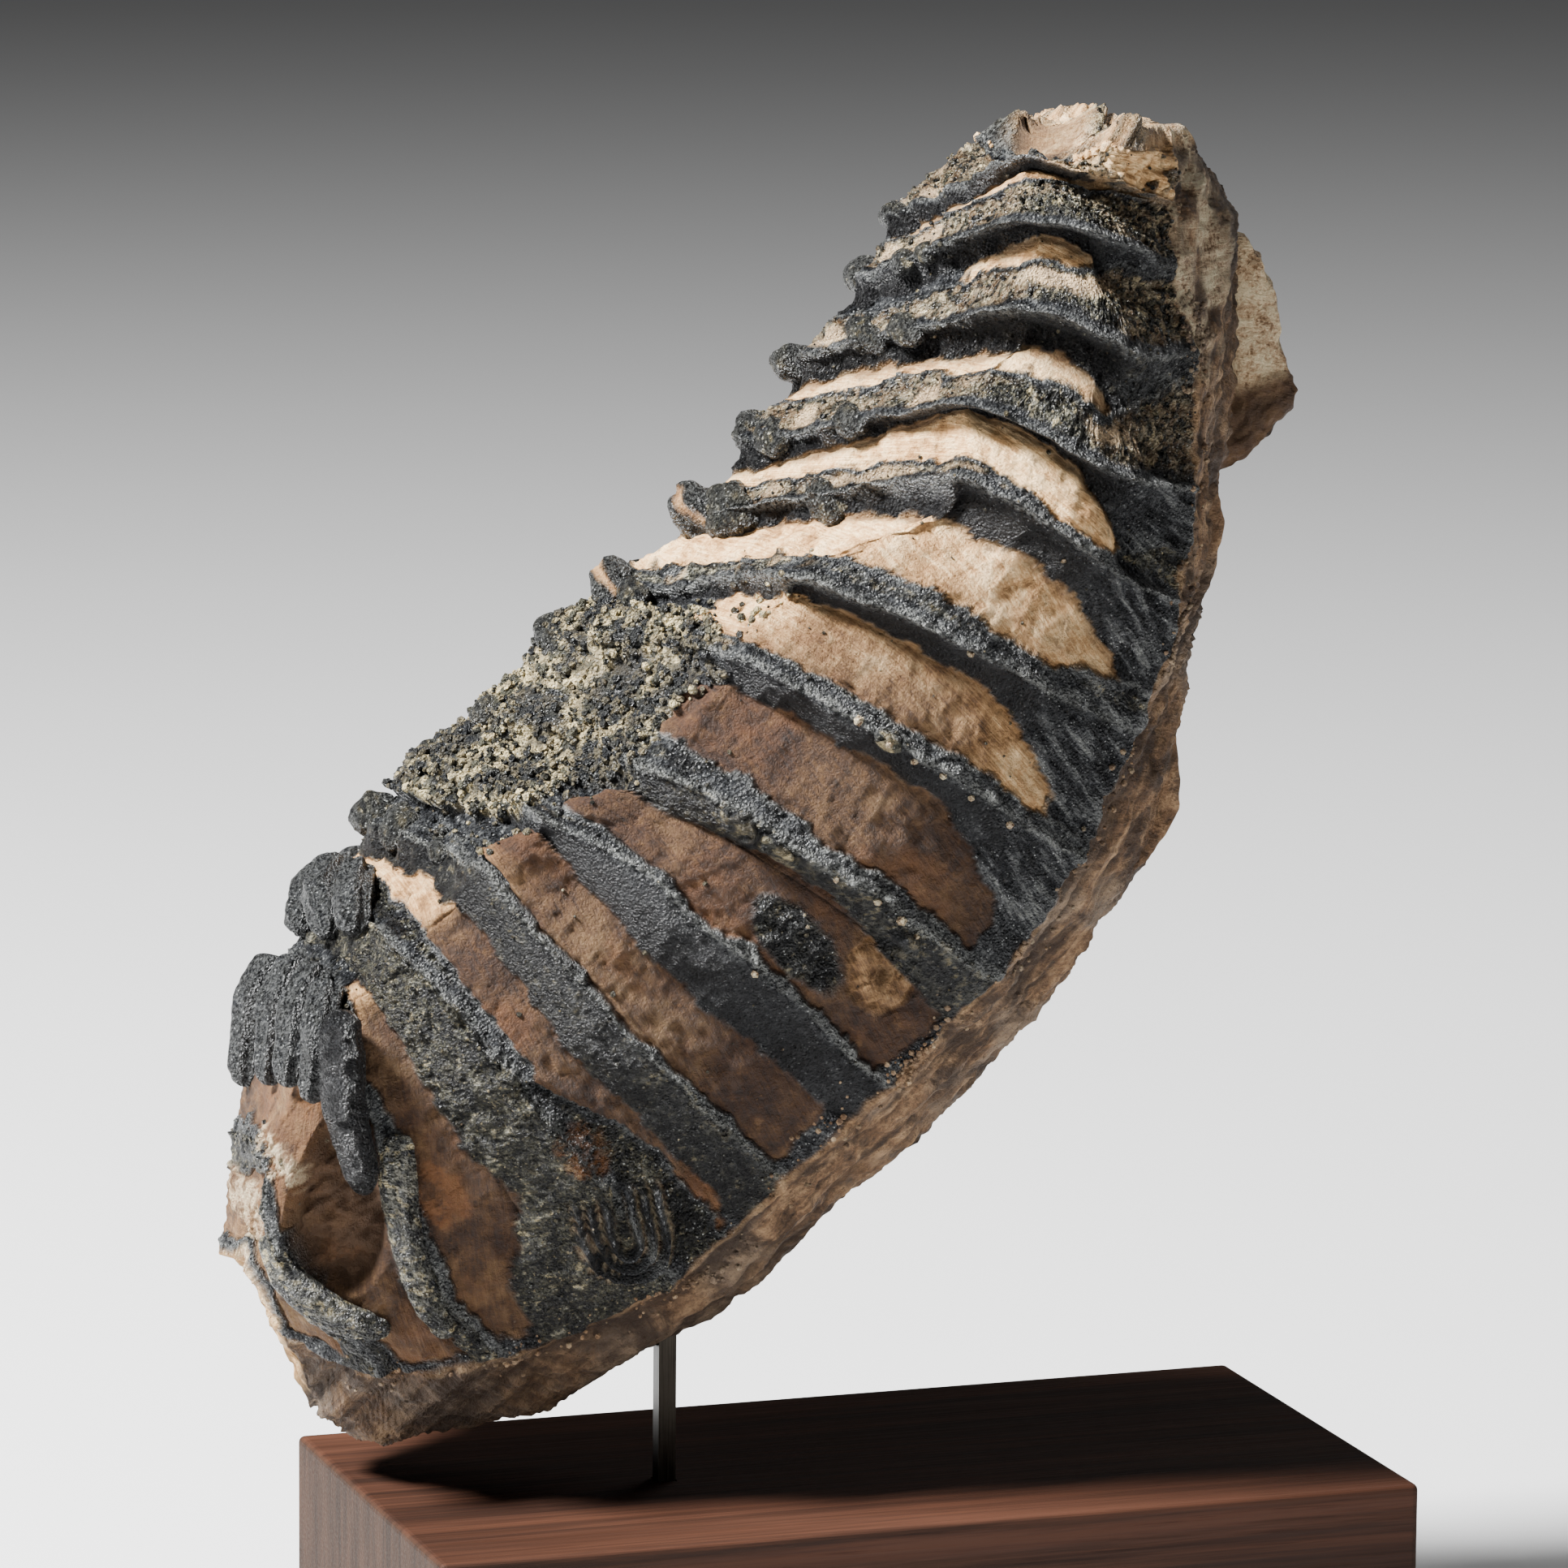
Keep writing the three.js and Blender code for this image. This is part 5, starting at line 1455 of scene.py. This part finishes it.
class FossilToothColours(bpy.types.PropertyGroup):
    """Colours of the tooth and its stand, as they look on screen."""

    cement_light: colour_setting("Cement, light", "Lit cement between the plates", (0.95, 0.81, 0.61))
    cement_mid: colour_setting("Cement", "Cement between the plates", (0.79, 0.62, 0.42))
    # Also laid along the sunken window edges as painted shade.
    cement_dark: colour_setting("Cement, dark", "Darker cement in the hollows", (0.58, 0.42, 0.25))
    cement_stain: colour_setting("Cement stain", "Brown stain in the cement", (0.34, 0.24, 0.14))
    # Tint of the brown stain, which also paints the shade of the lower plates.
    stain_and_shade_tint: colour_setting("Stain tint", "Tint of the stained cement", (0.262, 0.202, 0.120))
    orange_stain: colour_setting("Orange stain", "Rusty patches of the cement", (0.45, 0.28, 0.14))
    rust_brown: colour_setting("Rust brown", "Rusty patches of the enamel", (0.36, 0.22, 0.10))
    bone_pale: colour_setting("Pale chips", "Palest chips and crumbs", (0.84, 0.79, 0.66))
    enamel_dark: colour_setting("Enamel, dark", "Darkest enamel", (0.032, 0.034, 0.040))
    enamel_mid: colour_setting("Enamel", "Blue-grey enamel", (0.145, 0.15, 0.16))
    enamel_light: colour_setting("Enamel, light", "Worn enamel", (0.33, 0.335, 0.335))
    slate: colour_setting("Slate", "Smooth lower faces of the plates", (0.068, 0.072, 0.082))
    # Pale worn crests, partly a painted highlight.
    lip_grey: colour_setting("Lip", "Worn crests of the plates", (0.47, 0.475, 0.46))
    hollow_brown: colour_setting("Hollow brown", "Dark brown of the hollows", (0.28, 0.20, 0.135))
    olive: colour_setting("Olive grit", "Fine olive grit of the lowest plates", (0.205, 0.195, 0.145))
    olive_dark: colour_setting("Olive grit, dark", "Darker olive grit", (0.105, 0.10, 0.078))
    grit_grey: colour_setting("Grit", "Grey-green mineral grains", (0.32, 0.315, 0.265))
    grit_pale: colour_setting("Grit, pale", "Pale mineral grains", (0.58, 0.565, 0.50))
    beige_streak: colour_setting("Beige streak", "Core of the plates", (0.70, 0.60, 0.48))
    # Colour of the painted shade under the lips and overhangs.
    underside: colour_setting("Underside", "Shaded enamel under the lips", (0.035, 0.032, 0.035))
    # Colour of the painted glints.
    painted_glint_colour: colour_setting("Sparkle", "Bright crystal faces", (0.80, 0.81, 0.80))
    crust_dull: colour_setting("Crust", "Grains of the mineral crust", (0.60, 0.54, 0.41))
    crust_pale: colour_setting("Crust, pale", "Palest grains of the crust", (0.86, 0.79, 0.60))
    root_light: colour_setting("Root, light", "Light fibres of the root", (0.63, 0.51, 0.38))
    root_mid: colour_setting("Root", "Root fibres", (0.41, 0.305, 0.21))
    root_dark: colour_setting("Root, dark", "Dark fibres of the root", (0.15, 0.095, 0.05))
    root_grey: colour_setting("Root, grey", "Grey weathered patches of the root", (0.44, 0.395, 0.345))
    wood_light: colour_setting("Wood, light", "Light grain of the block", (0.22, 0.135, 0.097))
    wood_mid: colour_setting("Wood", "Grain of the block", (0.14, 0.082, 0.055))
    wood_dark: colour_setting("Wood, dark", "Dark grain of the block", (0.075, 0.04, 0.026))
    # Colour of the painted light on the block's top.
    painted_top_light_colour: colour_setting("Wood, top", "Warmer oiled top of the block", (0.27, 0.155, 0.10))
    # Lighter, greyer colour of the sawn ends.
    end_light: colour_setting("Block end, light", "Dusty sawn end of the block", (0.185, 0.125, 0.088))
    end_dark: colour_setting("Block end, dark", "Dark lines of the sawn end", (0.10, 0.065, 0.042))
    steel_light: colour_setting("Steel, light", "Bright brushed lines", (0.19, 0.175, 0.155))
    steel_dark: colour_setting("Steel, dark", "Dark brushed lines", (0.08, 0.07, 0.06))


class FossilToothStage(bpy.types.PropertyGroup):
    """Camera, light and floor."""

    lens: FloatProperty(name="Lens", description="Focal length", default=180.75, unit="CAMERA")
    azimuth: FloatProperty(name="Azimuth", description="Turn of the camera about z",
                           default=math.radians(-18.99), subtype="ANGLE")
    elevation: FloatProperty(name="Elevation", description="How far the camera looks down",
                             default=math.radians(9.94), subtype="ANGLE")
    roll: FloatProperty(name="Roll", description="Tilt of the picture", default=math.radians(0.5),
                        subtype="ANGLE")
    stand: FloatVectorProperty(name="Camera place", description="Where the camera stands",
                               default=(-0.4504, -1.2682, 0.3945), size=3, subtype="TRANSLATION")
    key: FloatProperty(name="Key light", description="Power of the key light", default=180.0, unit="POWER")
    top: FloatProperty(name="Top light", description="Power of the light above", default=5.0, unit="POWER")
    fill: FloatProperty(name="Fill light", description="Power of the fill light", default=4.0, unit="POWER")
    floor: colour_setting("Floor", "Pale floor", (0.80, 0.80, 0.80))


class FOSSIL_OT_tooth(bpy.types.Operator):
    """Build the tooth's skin in five closed lengths"""
    bl_idname = "fossil.tooth"
    bl_label = "Tooth"

    def execute(self, context):
        material = tooth_finish(context.scene.fossil_colours)
        for name, start, stop in LENGTHS:
            finish_piece(tooth_length(name, start, stop), material, "fossil_tooth", "tooth")
        return {"FINISHED"}


class FOSSIL_OT_fingers(bpy.types.Operator):
    """Build the knobs of the biting edge, the lobes, the finger, the ribbons and the root's flanges"""
    bl_idname = "fossil.fingers"
    bl_label = "Knobs, lobes and fingers"

    def execute(self, context):
        material = bpy.data.materials["tooth_mineral"]
        finish_piece(knob_piece(), material, "fossil_tooth")
        # The lobes' lip share lightens them as a painted highlight.
        lobe = {"enamel": 1, "slate": 0.2, "comb": 0.40, "lip": 0.20}
        # The finger's shade mask darkens the whole finger to near black.
        for name, rods, masks in (
                ("enamel_finger", (FINGER,), {"enamel": 1, "comb": 0.2, "shade": 0.7}),
                ("upper_lobe", UPPER_LOBE, lobe),
                ("lower_lobe", LOWER_LOBE, lobe),
                ("enamel_ribbons", RIBBONS, {"enamel": 1, "gritty": 0.5, "comb": 0.6}),
                ("root_flanges", FLANGES, {"root": 1.0})):
            finish_piece(rods_piece(name, rods, masks), material, "fossil_tooth")
        return {"FINISHED"}


class FOSSIL_OT_crumbs(bpy.types.Operator):
    """Scatter the crust's grains, the crystals and the crumbs, and build the bone flake"""
    bl_idname = "fossil.crumbs"
    bl_label = "Crust, crystals and flake"

    def execute(self, context):
        material = bpy.data.materials["tooth_mineral"]
        for make in (crust_piece, grit_piece, margin_piece, rim_piece, flake_piece):
            finish_piece(make(), material, "fossil_tooth")
        return {"FINISHED"}


class FOSSIL_OT_stand(bpy.types.Operator):
    """Give the wood block and the steel bar their finish"""
    bl_idname = "fossil.stand"
    bl_label = "Stand"

    def execute(self, context):
        look = context.scene.fossil_colours
        for node, material in (("wood_block", wood_finish(look)), ("steel_bar", steel_finish(look))):
            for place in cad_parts[node].material_slots:
                place.material = material
        return {"FINISHED"}


class FOSSIL_OT_stage(bpy.types.Operator):
    """Set the camera, the floor and the lights"""
    bl_idname = "fossil.stage"
    bl_label = "Stage"

    def execute(self, context):
        stage = context.scene.fossil_stage
        a, e, roll = stage.azimuth, stage.elevation, stage.roll
        forward = Vector((-math.sin(a) * math.cos(e), math.cos(a) * math.cos(e), -math.sin(e)))
        right = Vector((math.cos(a), math.sin(a), 0))
        up = right.cross(forward)
        side = math.cos(roll) * right + math.sin(roll) * up
        top = math.cos(roll) * up - math.sin(roll) * right
        camera = bpy.data.objects.new("camera", bpy.data.cameras.new("camera"))
        camera.data.lens = stage.lens
        camera.data.sensor_width = CAMERA_SENSOR
        camera.data.clip_end = CAMERA_REACH
        camera.matrix_world = Matrix.Translation(stage.stand) @ Matrix((
            (side.x, top.x, -forward.x), (side.y, top.y, -forward.y),
            (side.z, top.z, -forward.z))).to_4x4()
        context.scene.collection.objects.link(camera)
        context.scene.camera = camera

        target = Vector((BLOCK_MIDDLE.x, 0, TARGET_HEIGHT))
        flat = Vector((forward.x, forward.y, 0)).normalized()
        for name, power, size, (to_right, beyond, above) in LIGHTS:
            lamp = bpy.data.lights.new(name, "AREA")
            lamp.energy = getattr(stage, power)
            lamp.size = size
            light = bpy.data.objects.new(name, lamp)
            light.location = target + to_right * right + beyond * flat + Vector((0, 0, above))
            light.rotation_euler = (target - light.location).to_track_quat("-Z", "Y").to_euler()
            context.scene.collection.objects.link(light)

        world = bpy.data.worlds.new("studio")
        world.use_nodes = True
        sky = world.node_tree.nodes["Background"]
        sky.inputs["Color"].default_value = SKY_COLOUR
        sky.inputs["Strength"].default_value = SKY_STRENGTH
        context.scene.world = world

        points = np.array([(-1, -1, 0), (1, -1, 0), (1, 1, 0), (-1, 1, 0)]) * FLOOR_HALF
        floor = make_mesh("floor", points, np.array([[0, 1, 2, 3]]))
        floor.data.materials.append(Finish("pale_floor").surface(linear(stage.floor), 0.6))
        return {"FINISHED"}


class FOSSIL_PT_panel(bpy.types.Panel):
    """Lists the pieces and their settings"""
    bl_idname = "FOSSIL_PT_panel"
    bl_label = "Fossil Tooth"
    bl_space_type = "VIEW_3D"
    bl_region_type = "UI"
    bl_category = "Fossil Tooth"

    def draw(self, context):
        for operator in OPERATORS:
            self.layout.operator(operator.bl_idname)
        for group in (context.scene.fossil_colours, context.scene.fossil_stage):
            for key in group.__annotations__:
                self.layout.prop(group, key)


OPERATORS = (FOSSIL_OT_stage, FOSSIL_OT_tooth, FOSSIL_OT_fingers, FOSSIL_OT_crumbs, FOSSIL_OT_stand)
GROUPS = {"fossil_colours": FossilToothColours, "fossil_stage": FossilToothStage}


def register():
    """Registers the classes and hangs the settings on the scene."""
    for cls in (*GROUPS.values(), *OPERATORS, FOSSIL_PT_panel):
        bpy.utils.register_class(cls)
    for name, group in GROUPS.items():
        setattr(bpy.types.Scene, name, PointerProperty(type=group))


def unregister():
    """Takes the settings and the classes away again."""
    for name in GROUPS:
        delattr(bpy.types.Scene, name)
    for cls in reversed((*GROUPS.values(), *OPERATORS, FOSSIL_PT_panel)):
        bpy.utils.unregister_class(cls)


def main():
    """Builds the whole object."""
    register()
    bpy.ops.fossil.stage()
    bpy.ops.fossil.tooth()
    bpy.ops.fossil.fingers()
    bpy.ops.fossil.crumbs()
    bpy.ops.fossil.stand()


if __name__ == "__main__":
    main()
